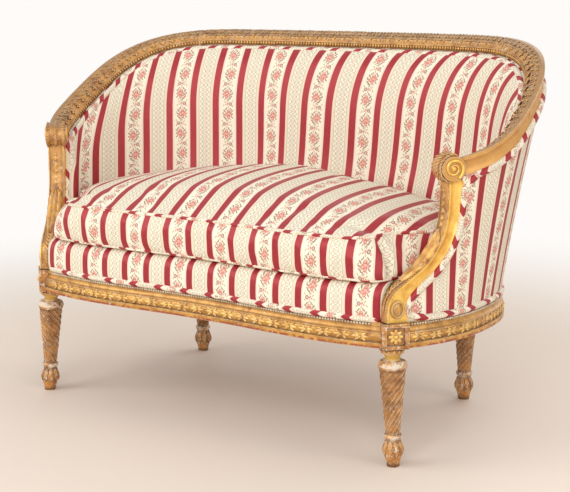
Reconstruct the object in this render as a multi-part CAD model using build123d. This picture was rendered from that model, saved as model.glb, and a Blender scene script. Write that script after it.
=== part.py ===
from build123d import *
import os
from math import copysign, cos, hypot, pi, radians, sin, sqrt

# All sizes are millimetres. While modelling, y is measured back from the line through the two
# front legs; every finished piece is then moved so that the origin is mid width, mid depth, floor.

# Plan of the seat frame
front_leg_spacing = 1040.0
leg_line_depth = 542.0
back_leg_set_in = 89.0
back_leg_cover = 90.0
seat_overhang = 107.0
seat_widest_y = 230.0
seat_back_power = 2.7
side_rail_angle = -29.0
side_rail_lap = 7.5
front_centre_set = 43.0
front_lobe_set = 55.0
front_lobe_share = 0.596
front_end_set = 30.0

# Seat rails and their moulding, from the bottom edge up
rail_bottom_z = 276.0
rail_height = 58.0
rail_width = 52.0
rail_fillet_height = 13.0
rail_band_height = 20.0
rail_band_sink = 5.0
rail_band_swell = 2.5
rail_step_sink = 3.0
rail_step_height = 3.0
rail_bead_height = 8.0
rail_bead_sink = 8.0
rail_cove_sink = 10.0
back_joint_set_in = 8.0

# Legs
leg_block_width = 62.0
block_panel_width = 42.0
block_panel_depth = 3.0
leg_rake_out = 10.0
leg_rake_forward = 6.0
foot_radius = 14.5
foot_bulge_radius = 21.5
foot_bulge_z = 44.0
foot_ring_radius = 20.5
foot_ring_z = 70.0
foot_ring_height = 10.0
foot_waist_radius = 16.5
foot_below_floor = 4.0
shaft_bottom_z = 78.0
shaft_bottom_radius = 17.5
shaft_top_z = 226.0
shaft_top_radius = 31.0
collar_radius = 33.5
collar_top_z = 245.0
neck_radius = 17.0
neck_top_radius = 27.0
flute_count = 12
flute_depth = 3.0
flute_twist = 280.0
flute_step = 10.0
back_leg_spigot_radius = 13.0
back_leg_spigot_length = 36.0

# Rosette on each front block
rosette_petals = 8
rosette_radius = 18.0
rosette_thickness = 5.0
rosette_eye_radius = 6.0

# Arm and crest rail
arm_flare = 38.0
arm_widest_set = 65.0
crest_lean = 58.0
arm_back_power = 2.6
arm_z = 668.0
crest_rise = 251.0
rise_lead = 40.0
top_rail_width = 46.0
top_rail_height = 42.0
top_rail_fillet = 8.0
top_rail_cove = 5.0
top_rail_swell = 6.0
top_rail_bead = 13.0
scroll_angle = -26.8
scroll_set_back = 115.0
crest_joint_angle = 49.0
front_station_angle = -40.0
station_step = 9.0
scroll_radius = 28.0
scroll_width = 52.0

# Arm supports: steps along the sweep as shares of the way back and of the way up to the scroll
support_shares = ((0.0, 0.0), (0.03, 0.132), (0.293, 0.228), (0.624, 0.335), (0.881, 0.479), (1.013, 0.635),
                  (1.05, 0.796))
support_depths = (52.0, 48.0, 42.0, 38.0, 36.0, 35.0, 36.0)
support_thicknesses = (44.0, 43.0, 41.0, 40.0, 40.0, 40.0, 42.0)
support_into_scroll = 52.0

# Hidden back frame
stile_angle = 57.0
stile_width = 40.0
stile_housing = 16.0
tacking_rail_height = 35.0
tacking_rail_z = 386.0
brace_width = 45.0
brace_height = 34.0
corner_block_length = 190.0
corner_block_depth = 36.0
corner_block_height = 38.0
back_block_length = 130.0
back_block_depth = 26.0

# Fasteners
dowel_diameter = 10.0
dowel_reach = 24.0
dowel_spread = 24.0
screw_diameter = 5.0
screw_head_diameter = 10.0
screw_head_height = 3.0
screw_grip = 26.0

# Webbing and hessian
strap_width = 60.0
strap_thickness = 1.6
long_strap_count = 9
long_strap_set_in = 88.0
cross_strap_count = 5
cross_strap_start = 70.0
cross_strap_end = 92.0
strap_inset = 27.0
hessian_thickness = 1.0
back_strap_width = 55.0
back_strap_angles = (68.0, 79.0, 90.0, 101.0, 112.0)

# Upholstery
cover_thickness = 3.0
cover_inset = 9.0
frame_cavity = 36.0
pad_foot = 40.0
arm_front_fullness = 0.55
pad_top = 17.0
pad_swell = 12.0
pad_bottom_z = 341.0
deck_height = 86.0
deck_side_gap = 0.8
deck_rolls = ((0.0, 9.0), (10.0, 4.0), (30.0, 2.0), (58.0, 4.0), (77.0, 13.0), (86.0, 28.0))
deck_corner_set = 23.0
deck_recess_inset = 22.0

# Loose cushion
cushion_boxing = 95.0
cushion_crown = 100.0
cushion_corner_radius = 42.0
cushion_side_start_y = 90.0
cushion_front_inset = 5.0
cushion_side_inset = 11.0
cushion_draw_in = 3.0
cushion_under_inset = 9.0
cushion_crown_steps = (0.9, 0.76, 0.58, 0.38, 0.16)
cushion_crown_power = 2.2

# Clearances
seat_clearance = 0.3
joint_clearance = 0.2
stile_clearance = 4.5

# Worked-out places
block_top_z = rail_bottom_z + rail_height
half_leg = front_leg_spacing / 2
back_leg_x = half_leg - back_leg_set_in
front_lobe_x = half_leg * front_lobe_share
corner_x = half_leg - deck_corner_set
seat_half_width = half_leg + seat_overhang
seat_back_y = leg_line_depth + back_leg_cover
seat_front_reach = -(seat_widest_y + side_rail_lap) / sin(radians(side_rail_angle))
arm_half_width = seat_half_width + arm_flare
arm_widest_y = seat_widest_y + arm_widest_set
arm_front_reach = (scroll_set_back - arm_widest_y) / sin(radians(scroll_angle))
crest_back_y = seat_back_y + crest_lean
crest_z = arm_z + crest_rise
rise_start_y = scroll_set_back - rise_lead
rise_end_y = crest_back_y - rise_lead
front_y = -front_lobe_set
back_y = crest_back_y + top_rail_width / 2
middle_y = (front_y + back_y) / 2
deck_top_z = block_top_z + deck_height


class Oval:
    # Plan curve of the frame: an oval that is fuller at the back than at the front.
    def __init__(self, half_width, widest_y, end_y, power, front_reach):
        self.half_width = half_width
        self.widest_y = widest_y
        self.back_reach = end_y - widest_y
        self.back_power = power
        self.front_reach = front_reach

    def at(self, angle):
        c = cos(angle)
        s = sin(angle)
        power = self.back_power if s >= 0 else 2.0
        reach = self.back_reach if s >= 0 else self.front_reach
        x = self.half_width * copysign(abs(c) ** (2 / power), c)
        y = self.widest_y + reach * copysign(abs(s) ** (2 / power), s)
        lean = 2 - 2 / power
        nx = copysign(abs(c) ** lean, c) / self.half_width
        ny = copysign(abs(s) ** lean, s) / reach
        size = hypot(nx, ny)
        return x, y, nx / size, ny / size


seat_oval = Oval(seat_half_width, seat_widest_y, seat_back_y, seat_back_power, seat_front_reach)
arm_oval = Oval(arm_half_width, arm_widest_y, crest_back_y, arm_back_power, arm_front_reach)


class Station:
    # An upright plane square to a plan curve: points are given by distance outward and height.
    def __init__(self, x, y, nx, ny):
        self.x = x
        self.y = y
        self.nx = nx
        self.ny = ny

    def point(self, out, z):
        return Vector(self.x + self.nx * out, self.y + self.ny * out, z)

    def mirrored(self):
        twin = Station(-self.x, self.y, -self.nx, self.ny)
        twin.__dict__.update({k: v for k, v in self.__dict__.items() if k not in ("x", "nx")})
        return twin

    def plane(self, out, z):
        return Plane(origin=self.point(out, z), x_dir=(-self.ny, self.nx, 0), z_dir=(0, 0, 1))


def smooth(t):
    t = min(max(t, 0.0), 1.0)
    return t * t * (3 - 2 * t)


def smooth_rate(t):
    t = min(max(t, 0.0), 1.0)
    return 6 * t * (1 - t)


def seat_distance(x, y, nx, ny, angle):
    # Distance outward from a place on the arm curve to the seat curve, in the same upright plane.
    def off(a):
        sx, sy = seat_oval.at(a)[:2]
        return (sx - x) * ny - (sy - y) * nx

    low = angle - 0.55
    high = angle + 0.55
    for _ in range(60):
        mid = (low + high) / 2
        if off(low) * off(mid) <= 0:
            high = mid
        else:
            low = mid
    sx, sy = seat_oval.at((low + high) / 2)[:2]
    return (sx - x) * nx + (sy - y) * ny


def arm_station(degree):
    # Station on the arm and crest curve; beyond the middle it mirrors the other half.
    if degree > 90:
        return arm_station(180 - degree).mirrored()
    angle = radians(degree)
    x, y, nx, ny = arm_oval.at(angle)
    place = Station(x, y, nx, ny)
    t = (y - rise_start_y) / (rise_end_y - rise_start_y)
    place.z = arm_z + (crest_z - arm_z) * smooth(t)
    slope = (crest_z - arm_z) * smooth_rate(t) / (rise_end_y - rise_start_y) * nx
    place.stretch = sqrt(1 + slope * slope)
    place.seat = seat_distance(x, y, nx, ny, angle) if degree < 90 else seat_back_y - y
    place.under_z = place.z - top_rail_height / 2 * place.stretch - joint_clearance
    fill = smooth((degree - scroll_angle) / (crest_joint_angle - scroll_angle))
    place.fullness = arm_front_fullness + (1 - arm_front_fullness) * fill
    return place


def seat_station(degree):
    return Station(*seat_oval.at(radians(degree)))


def spaced(first, last, step):
    count = max(1, round(abs(last - first) / step))
    return [first + (last - first) * i / count for i in range(count + 1)]


def section(place, start, *steps):
    # Closed outline in a station's plane; a step of two points is an arc through the first.
    edges = []
    here = start
    for step in steps + (start,):
        if isinstance(step[0], tuple):
            mid, there = step
            edges.append(ThreePointArc(place.point(*here), place.point(*mid), place.point(*there)))
        else:
            there = step
            edges.append(Line(place.point(*here), place.point(*there)))
        here = there
    return Wire(edges)


def twin(piece):
    return mirror(piece, about=Plane.YZ)


def largest(piece):
    return max(piece.solids(), key=lambda s: s.volume)


def bored(piece, pins):
    for pin in pins:
        piece = piece - pin
    return largest(piece)


# Front outline of the seat: two shallow lobes beside a flatter middle
def front_outline_y(x, inset=0.0):
    lobe = sin(pi * min(abs(x), front_lobe_x) / (2 * front_lobe_x)) ** 2
    y = -(front_centre_set + (front_lobe_set - front_centre_set) * lobe)
    if abs(x) > front_lobe_x:
        t = (abs(x) - front_lobe_x) / (half_leg - front_lobe_x)
        y = -front_lobe_set + (front_lobe_set - front_end_set) * t * t
    return y + inset


def front_station(x):
    return Station(x, front_outline_y(x), 0.0, -1.0)


def rail_section(place):
    band_bottom = rail_bottom_z + rail_fillet_height
    band_top = band_bottom + rail_band_height
    step_top = band_top + rail_step_height
    bead_bottom = block_top_z - rail_bead_height
    return section(
        place,
        (-rail_width, rail_bottom_z),
        (0.0, rail_bottom_z),
        (0.0, band_bottom - 1.0),
        (-rail_band_sink, band_bottom),
        ((-rail_band_sink + rail_band_swell, (band_bottom + band_top) / 2), (-rail_band_sink, band_top)),
        (-rail_step_sink, band_top),
        (-rail_step_sink, step_top),
        ((-rail_cove_sink + 1.0, step_top + (bead_bottom - step_top) * 0.4), (-rail_cove_sink, bead_bottom)),
        (-rail_bead_sink, bead_bottom),
        (-rail_bead_sink, block_top_z),
        (-rail_width, block_top_z),
    )


def seat_rail(stations):
    return Solid.make_loft([rail_section(s) for s in stations])


def top_rail_section(place):
    half_w = top_rail_width / 2
    half_h = top_rail_height / 2

    def at(out, up):
        return out, place.z + up * place.stretch

    face_low = at(2.0 - half_w, top_rail_bead - half_h)
    face_high = at(half_w - top_rail_fillet, half_h)
    face_mid = (
        (face_low[0] + face_high[0]) / 2 - top_rail_swell * 0.63,
        (face_low[1] + face_high[1]) / 2 + top_rail_swell * 0.78,
    )
    return section(
        place,
        at(2.0 - half_w, -half_h),
        at(half_w - 2.0, -half_h),
        (at(half_w - 2.0 - top_rail_cove, -2.0), at(half_w, half_h - top_rail_fillet)),
        at(half_w, half_h),
        face_high,
        (face_mid, face_low),
    )


def top_rail(degrees_list):
    return Solid.make_loft([top_rail_section(arm_station(d)) for d in degrees_list])


# Front leg: block, turned neck and collar, twisted fluted shaft and vase foot
def leg_foot():
    ring_edge = foot_ring_radius - 1
    ring_low = foot_ring_z - foot_ring_height / 2
    ring_high = foot_ring_z + foot_ring_height / 2
    waist = (foot_waist_radius, ring_low - 2)
    core = shaft_bottom_radius - 2
    with BuildPart() as foot:
        with BuildSketch(Plane.XZ):
            with BuildLine():
                Line((0, -foot_below_floor), (foot_radius, -foot_below_floor))
                Line((foot_radius, -foot_below_floor), (foot_radius, 2))
                Spline((foot_radius, 2), (foot_bulge_radius, foot_bulge_z), waist,
                       tangents=((0.1, 1), (0.25, 1)))
                Line(waist, (ring_edge, ring_low))
                ThreePointArc((ring_edge, ring_low), (foot_ring_radius + 1, foot_ring_z),
                              (ring_edge, ring_high))
                Line((ring_edge, ring_high), (core, shaft_bottom_z))
                Line((core, shaft_bottom_z), (0, shaft_bottom_z))
                Line((0, shaft_bottom_z), (0, -foot_below_floor))
            make_face()
        revolve(axis=Axis.Z)
    return foot.part.solid()


def fluted_ring(z, radius, turn):
    # Ring of hollow flutes that meet in sharp arrises.
    step = 2 * pi / flute_count
    valley = radius * cos(step / 2) - flute_depth * radius / shaft_top_radius

    def at(reach, count):
        return reach * cos(turn + step * count), reach * sin(turn + step * count), z

    return Wire([ThreePointArc(at(radius, i), at(valley, i + 0.5), at(radius, i + 1))
                 for i in range(flute_count)])


def leg_shaft():
    count = round(flute_twist / flute_step)
    rings = []
    for i in range(count + 1):
        t = i / count
        z = shaft_bottom_z - 1 + (shaft_top_z - shaft_bottom_z + 2) * t
        radius = shaft_bottom_radius + (shaft_top_radius - shaft_bottom_radius) * t
        rings.append(fluted_ring(z, radius, radians(flute_twist) * t))
    return Solid.make_loft(rings)


def leg_collar(top_z):
    with BuildPart() as collar:
        with BuildSketch(Plane.XZ):
            with BuildLine():
                Line((0, shaft_top_z), (shaft_top_radius, shaft_top_z))
                ThreePointArc((shaft_top_radius, shaft_top_z),
                              (collar_radius, (shaft_top_z + collar_top_z) / 2),
                              (shaft_top_radius - 3, collar_top_z))
                Line((shaft_top_radius - 3, collar_top_z), (neck_radius + 3, collar_top_z))
                ThreePointArc((neck_radius + 3, collar_top_z), (neck_radius, collar_top_z + 6),
                              (neck_radius + 3, collar_top_z + 13))
                Line((neck_radius + 3, collar_top_z + 13), (neck_top_radius, collar_top_z + 19))
                Line((neck_top_radius, collar_top_z + 19), (neck_top_radius, top_z))
                Line((neck_top_radius, top_z), (0, top_z))
                Line((0, top_z), (0, shaft_top_z))
            make_face()
        revolve(axis=Axis.Z)
    return collar.part.solid()


def turned_leg(top_z):
    return leg_foot() + leg_shaft() + leg_collar(top_z)


def block_plane(z):
    return Plane(origin=(half_leg, 0, z), x_dir=(1, 1, 0), z_dir=(0, 0, 1))


def leg_block():
    block = block_plane(rail_bottom_z) * Box(
        leg_block_width, leg_block_width, rail_height, align=(Align.CENTER, Align.CENTER, Align.MIN))
    panel = block_face_plane() * Box(block_panel_width, block_panel_width, 2 * block_panel_depth)
    return block - panel


def block_face_plane():
    reach = leg_block_width / 2 / sqrt(2)
    centre_z = rail_bottom_z + rail_height / 2
    return Plane(origin=(half_leg + reach, -reach, centre_z), x_dir=(1, 1, 0), z_dir=(1, -1, 0))


def below_floor():
    span = 4 * leg_block_width
    return Box(span, span, leg_block_width, align=(Align.CENTER, Align.CENTER, Align.MAX))


def front_leg(block):
    foot = Vector(half_leg + leg_rake_out, -leg_rake_forward, 0)
    head = Vector(half_leg, 0, rail_bottom_z)
    axis = (head - foot).normalized()
    leg = Plane(origin=foot, x_dir=(1, 0, 0), z_dir=axis) * turned_leg(rail_bottom_z + 3)
    return largest(block + (leg - Pos(half_leg, 0, 0) * below_floor()))


def leg_spigot():
    return Pos(back_leg_x, leg_line_depth, rail_bottom_z - 2) * Cylinder(
        back_leg_spigot_radius, back_leg_spigot_length + 2, align=(Align.CENTER, Align.CENTER, Align.MIN))


def back_leg():
    leg = turned_leg(rail_bottom_z) - below_floor()
    return largest(Pos(back_leg_x, leg_line_depth, 0) * leg + leg_spigot())


def rosette():
    petal = Pos(rosette_radius * 0.58, 0, 0) * scale(
        Sphere(rosette_radius * 0.42), by=(1, 0.62, 0.5))
    flower = Cylinder(rosette_radius * 0.55, rosette_thickness * 0.6,
                      align=(Align.CENTER, Align.CENTER, Align.MIN))
    for i in range(rosette_petals):
        flower += Rot(0, 0, 360 * i / rosette_petals) * petal
    flower += Pos(0, 0, rosette_thickness * 0.4) * Sphere(rosette_eye_radius)
    flower -= Box(100, 100, 50, align=(Align.CENTER, Align.CENTER, Align.MAX))
    seat = block_face_plane() * Pos(0, 0, -block_panel_depth)
    return largest(seat * flower)


# Arm support: swept in the upright plane from the block to the scroll
def support_run():
    end = arm_station(scroll_angle)
    return Vector(end.x - half_leg, end.y, 0)


def support_frame():
    return support_run().normalized()


support_sweep = [(back * support_run().length, up * (arm_z - block_top_z)) for back, up in support_shares]


def support_point(back, up):
    along = support_frame()
    return Vector(half_leg, 0, block_top_z + up) + along * back


def arm_support():
    path = Spline([support_point(*p) for p in support_sweep],
                  tangents=(Vector(0, 0, 1), Vector(0, 0, 1)))
    along = support_frame()
    across = Vector(along.Y, -along.X, 0)
    faces = []
    for i, (back, up) in enumerate(support_sweep):
        at = path.param_at_point(support_point(back, up))
        heading = path.tangent_at(at)
        plane = Plane(origin=support_point(back, up), x_dir=across, z_dir=heading)
        faces.append(plane * Rectangle(support_thicknesses[i], support_depths[i]))
    last = support_point(*support_sweep[-1])
    top = Plane(origin=last + Vector(0, 0, support_into_scroll), x_dir=across, z_dir=(0, 0, 1))
    faces.append(top * Rectangle(support_thicknesses[-1], support_depths[-1]))
    return loft(faces).solid()


def front_of_support():
    # Everything in front of the support's middle line, taken off the pads and covers.
    along = support_frame()
    plane = Plane(origin=(half_leg, 0, block_top_z), x_dir=along, z_dir=(along.Y, -along.X, 0))
    far = arm_z - block_top_z + top_rail_height
    line = Spline(*support_sweep, tangents=((0, 1), (0, 1)))
    top = support_sweep[-1]
    outline = Polyline((top[0], top[1]), (top[0], far), (-far, far), (-far, -far), (0.0, -far), (0.0, 0.0))
    return extrude(plane * make_face([line, outline]), amount=far, both=True)


def scroll():
    end = arm_station(scroll_angle)
    plane = Plane(origin=end.point(0, end.z), x_dir=(-end.ny, end.nx, 0), z_dir=(end.nx, end.ny, 0))
    return plane * Cylinder(scroll_radius, scroll_width)


# Covers, pads and the hidden frame between them share the same stations
side_degrees = spaced(front_station_angle, crest_joint_angle, station_step)
half_back_degrees = spaced(crest_joint_angle, 90.0, station_step)
back_degrees = half_back_degrees + [180 - d for d in reversed(half_back_degrees[:-1])]


def cover_section(place):
    foot = place.seat - cover_inset
    head = top_rail_width / 2 - 3.0
    return section(
        place,
        (foot - cover_thickness, block_top_z + joint_clearance),
        (foot, block_top_z + joint_clearance),
        (head, place.under_z),
        (head - cover_thickness, place.under_z),
    )


def pad_back(place):
    foot = place.seat - cover_inset - cover_thickness - frame_cavity * place.fullness
    head = 2.0 - top_rail_width / 2 + pad_top
    return foot, head


def pad_front(place):
    foot, head = pad_back(place)
    return foot - pad_foot * place.fullness, head - pad_top


def pad_section(place):
    back_foot, back_head = pad_back(place)
    foot, head = pad_front(place)
    mid = ((foot + head) / 2 - pad_swell, (pad_bottom_z + place.under_z) / 2)
    return section(
        place,
        (back_foot, pad_bottom_z),
        (foot, pad_bottom_z),
        (mid, (head, place.under_z)),
        (back_head, place.under_z),
    )


def pad_face(place, z):
    # Distance outward of the pad's inner face at a height.
    foot, head = pad_front(place)
    t = (z - pad_bottom_z) / (place.under_z - pad_bottom_z)
    return foot + (head - foot) * t - pad_swell * 4 * t * (1 - t)


def slab(stations, section_of):
    return Solid.make_loft([section_of(s) for s in stations])


def stile_profile(place, top):
    foot = place.seat - cover_inset - cover_thickness - stile_clearance
    head = top_rail_width / 2 - 3.0 - cover_thickness - stile_clearance
    return (
        (pad_back(place)[0] + stile_clearance, block_top_z),
        (foot, block_top_z),
        (head, top),
        (pad_back(place)[1] + stile_clearance, top),
    )


def back_stile():
    place = arm_station(stile_angle)
    corners = stile_profile(place, place.under_z + stile_housing)
    face = make_face(Polyline([place.point(*c) for c in corners], close=True))
    return extrude(face, amount=stile_width / 2, both=True).solid()


def tacking_section(place):
    def at(z):
        t = (z - block_top_z) / (place.under_z - block_top_z)
        low = stile_profile(place, place.under_z)
        return (low[0][0] + (low[3][0] - low[0][0]) * t, low[1][0] + (low[2][0] - low[1][0]) * t)

    low_in, low_out = at(tacking_rail_z)
    top_z = tacking_rail_z + tacking_rail_height
    top_in, top_out = at(top_z)
    return section(place, (low_in, tacking_rail_z), (low_out, tacking_rail_z),
                   (top_out, top_z), (top_in, top_z))


def back_strap(degree):
    # Upright strap on the back of the inside back pad, from the tacking rail to the crest rail.
    place = arm_station(degree)
    foot, head = pad_back(place)

    def at(z):
        return foot + (head - foot) * (z - pad_bottom_z) / (place.under_z - pad_bottom_z)

    low = tacking_rail_z
    near = joint_clearance
    far = near + strap_thickness
    corners = ((at(low) + near, low), (at(low) + far, low),
               (head + far, place.under_z), (head + near, place.under_z))
    face = make_face(Polyline([place.point(*c) for c in corners], close=True))
    return extrude(face, amount=back_strap_width / 2, both=True).solid()


# Plan line inside the pads
def inner_line(low_z, high_z, gap):
    # Plan line that clears the pads' inner faces between two heights; no height means the rail above.
    right = []
    for degree in side_degrees + half_back_degrees[1:]:
        place = arm_station(degree)
        heights = spaced(low_z, high_z or place.under_z, 25.0)
        point = place.point(min(pad_face(place, z) for z in heights) - gap, 0)
        right.append((point.X, point.Y))
    return right + [(-x, y) for x, y in reversed(right[:-1])]


def deck_outline(z, front_inset):
    inner = inner_line(pad_bottom_z, deck_top_z, deck_side_gap)
    xs = spaced(-corner_x, corner_x, corner_x / 6)
    front = Spline([(x, front_outline_y(x, front_inset), z) for x in xs])
    side = Spline([(x, y, z) for x, y in inner])
    return Wire([front, Line(front @ 1, side @ 0), side, Line(side @ 1, front @ 0)])


def seat_deck():
    deck = Solid.make_loft([deck_outline(block_top_z + up, inset) for up, inset in deck_rolls])
    under = strap_thickness * 2 + hessian_thickness + joint_clearance
    xs = spaced(-half_leg, half_leg, half_leg / 6)
    front = Spline([(x, front_outline_y(x, deck_recess_inset)) for x in xs])
    far = Polyline(front @ 1, (half_leg, 2 * leg_line_depth), (-half_leg, 2 * leg_line_depth), front @ 0)
    recess = Pos(0, 0, block_top_z) * extrude(make_face([front, far]), amount=under)
    wide = Pos(0, 0, block_top_z) * Box(
        2 * arm_half_width, 2 * leg_line_depth, under, align=(Align.CENTER, Align.MIN, Align.MIN))
    return deck - recess - wide


def seat_cushion():
    bottom = deck_top_z + seat_clearance
    welt = bottom + cushion_boxing
    boxing = Solid.make_loft([
        cushion_wire(bottom, cushion_under_inset),
        cushion_wire(bottom + cushion_under_inset * 0.8, 0.0),
        cushion_wire((bottom + welt) / 2, cushion_draw_in),
        cushion_wire(welt, 0.0),
    ], ruled=True)
    crown = [cushion_wire(welt, 0.0)]
    for share in cushion_crown_steps:
        crown.append(cushion_wire(welt + cushion_crown * (1 - share ** cushion_crown_power), 0.0, share))
    return largest(boxing + Solid.make_loft(crown))


def cushion_wire(z, inset, share=1.0):
    # Level outline of the cushion, drawn in by an inset or shrunk to a share of its size.
    line = inner_line(deck_top_z, None, cushion_side_inset)
    inside = [p for p in line if p[1] > cushion_side_start_y]
    centre_y = (inside[len(inside) // 2][1] - front_centre_set) / 2

    def drawn(x, y):
        narrow = share * (1 - inset / corner_x)
        shallow = share * (1 - 2 * inset / leg_line_depth)
        return x * narrow, centre_y + (y - centre_y) * shallow, z

    radius = cushion_corner_radius
    front_x = corner_x - radius
    xs = spaced(-front_x, front_x, front_x / 4)
    front = Spline([drawn(x, front_outline_y(x, cushion_front_inset)) for x in xs])
    side = Spline([drawn(x, y) for x, y in inside])
    edge_y = front_outline_y(front_x, cushion_front_inset)
    bend = radius * (1 - sqrt(0.5))
    right_end = drawn(corner_x, edge_y + radius)
    left_end = drawn(-corner_x, edge_y + radius)
    right_mid = drawn(corner_x - bend, edge_y + bend)
    left_mid = drawn(bend - corner_x, edge_y + bend)
    return Wire([
        front,
        ThreePointArc(front @ 1, right_mid, right_end),
        Line(right_end, side @ 0),
        side,
        Line(side @ 1, left_end),
        ThreePointArc(left_end, left_mid, front @ 0),
    ])


# Webbing, hessian and bracing inside the seat frame
def oval_back_y(x):
    share = (abs(x) / seat_half_width) ** seat_back_power
    return seat_widest_y + (seat_back_y - seat_widest_y) * (1 - share) ** (1 / seat_back_power)


def oval_half_x(y):
    power = seat_back_power if y > seat_widest_y else 2.0
    reach = seat_back_y - seat_widest_y if y > seat_widest_y else seat_front_reach
    return seat_half_width * (1 - (abs(y - seat_widest_y) / reach) ** power) ** (1 / power)


def long_straps():
    straps = []
    last_x = half_leg - long_strap_set_in
    for x in spaced(-last_x, last_x, 2 * last_x / (long_strap_count - 1)):
        start = front_outline_y(x, strap_inset)
        stop = oval_back_y(abs(x) + strap_width / 2) - strap_inset
        straps.append(Pos(x, (start + stop) / 2, block_top_z) * Box(
            strap_width, stop - start, strap_thickness, align=(Align.CENTER, Align.CENTER, Align.MIN)))
    return straps


def cross_straps():
    straps = []
    last_y = leg_line_depth - cross_strap_end
    for y in spaced(cross_strap_start, last_y, (last_y - cross_strap_start) / (cross_strap_count - 1)):
        half = min(oval_half_x(y - strap_width / 2), oval_half_x(y + strap_width / 2)) - strap_inset
        straps.append(Pos(0, y, block_top_z + strap_thickness) * Box(
            2 * half, strap_width, strap_thickness, align=(Align.CENTER, Align.CENTER, Align.MIN)))
    return straps


def hessian():
    first = -22.0
    right = [seat_station(d).point(-strap_inset, 0) for d in spaced(first, 90.0, 8.0)]
    points = [(p.X, p.Y) for p in right] + [(-p.X, p.Y) for p in reversed(right[:-1])]
    side = Spline(points)
    end_x = half_leg - leg_block_width
    xs = spaced(-end_x, end_x, end_x / 6)
    front = Spline([(x, front_outline_y(x, strap_inset)) for x in xs])
    face = make_face([front, Line(front @ 1, side @ 0), side, Line(side @ 1, front @ 0)])
    return Pos(0, 0, block_top_z + 2 * strap_thickness) * extrude(face, amount=hessian_thickness)


def cross_brace():
    low = rail_bottom_z + (rail_height - brace_height) / 2
    start = front_outline_y(0, rail_width / 2)
    stop = seat_back_y - rail_width / 2
    return Pos(0, (start + stop) / 2, low) * Box(
        brace_width, stop - start, brace_height, align=(Align.CENTER, Align.CENTER, Align.MIN))


def front_corner_block():
    low = rail_bottom_z + (rail_height - corner_block_height) / 2
    plane = Plane(origin=(half_leg - 50, 62, low), x_dir=(0.77, 0.64, 0), z_dir=(0, 0, 1))
    return plane * Box(corner_block_length, corner_block_depth, corner_block_height,
                       align=(Align.CENTER, Align.CENTER, Align.MIN))


def back_joint_degree():
    low = 20.0
    high = 70.0
    for _ in range(50):
        mid = (low + high) / 2
        if seat_oval.at(radians(mid))[0] > half_leg - back_joint_set_in:
            low = mid
        else:
            high = mid
    return (low + high) / 2


def back_corner_block(joint_degree):
    # The outer side follows the inside of the rails across their joint; the inner side is straight.
    low = rail_bottom_z + (rail_height - corner_block_height) / 2
    joint = seat_station(joint_degree)
    outer = -rail_width - joint_clearance
    step = (seat_station(joint_degree + 1).point(outer, low) - joint.point(outer, low)).length
    spread = back_block_length / 2 / step
    line = [seat_station(joint_degree + spread * share).point(outer, low)
            for share in (-1.0, -0.6, -0.2, 0.2, 0.6, 1.0)]
    along = Vector(-joint.ny, joint.nx, 0) * (back_block_length / 2)
    inner = joint.point(-rail_width - back_block_depth, low)
    outline = [Spline(line), Polyline(line[-1], inner + along, inner - along, line[0])]
    return extrude(make_face(outline), amount=corner_block_height, dir=(0, 0, 1)).solid()


def pin(start, stop, diameter):
    run = stop - start
    plane = Plane(origin=start, z_dir=run.normalized())
    return plane * Cylinder(diameter / 2, run.length, align=(Align.CENTER, Align.CENTER, Align.MIN))


def dowel_pair(point, heading, lift):
    pair = []
    for up in (-lift / 2, lift / 2):
        middle = point + Vector(0, 0, up)
        pair.append(pin(middle - heading * dowel_reach, middle + heading * dowel_reach, dowel_diameter))
    return pair


def screw(tip, head):
    run = (head - tip).normalized()
    return pin(tip, head, screw_diameter) + pin(head, head + run * screw_head_height, screw_head_diameter)


def both_sides(pieces):
    return pieces + [twin(p) for p in pieces]


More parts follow.
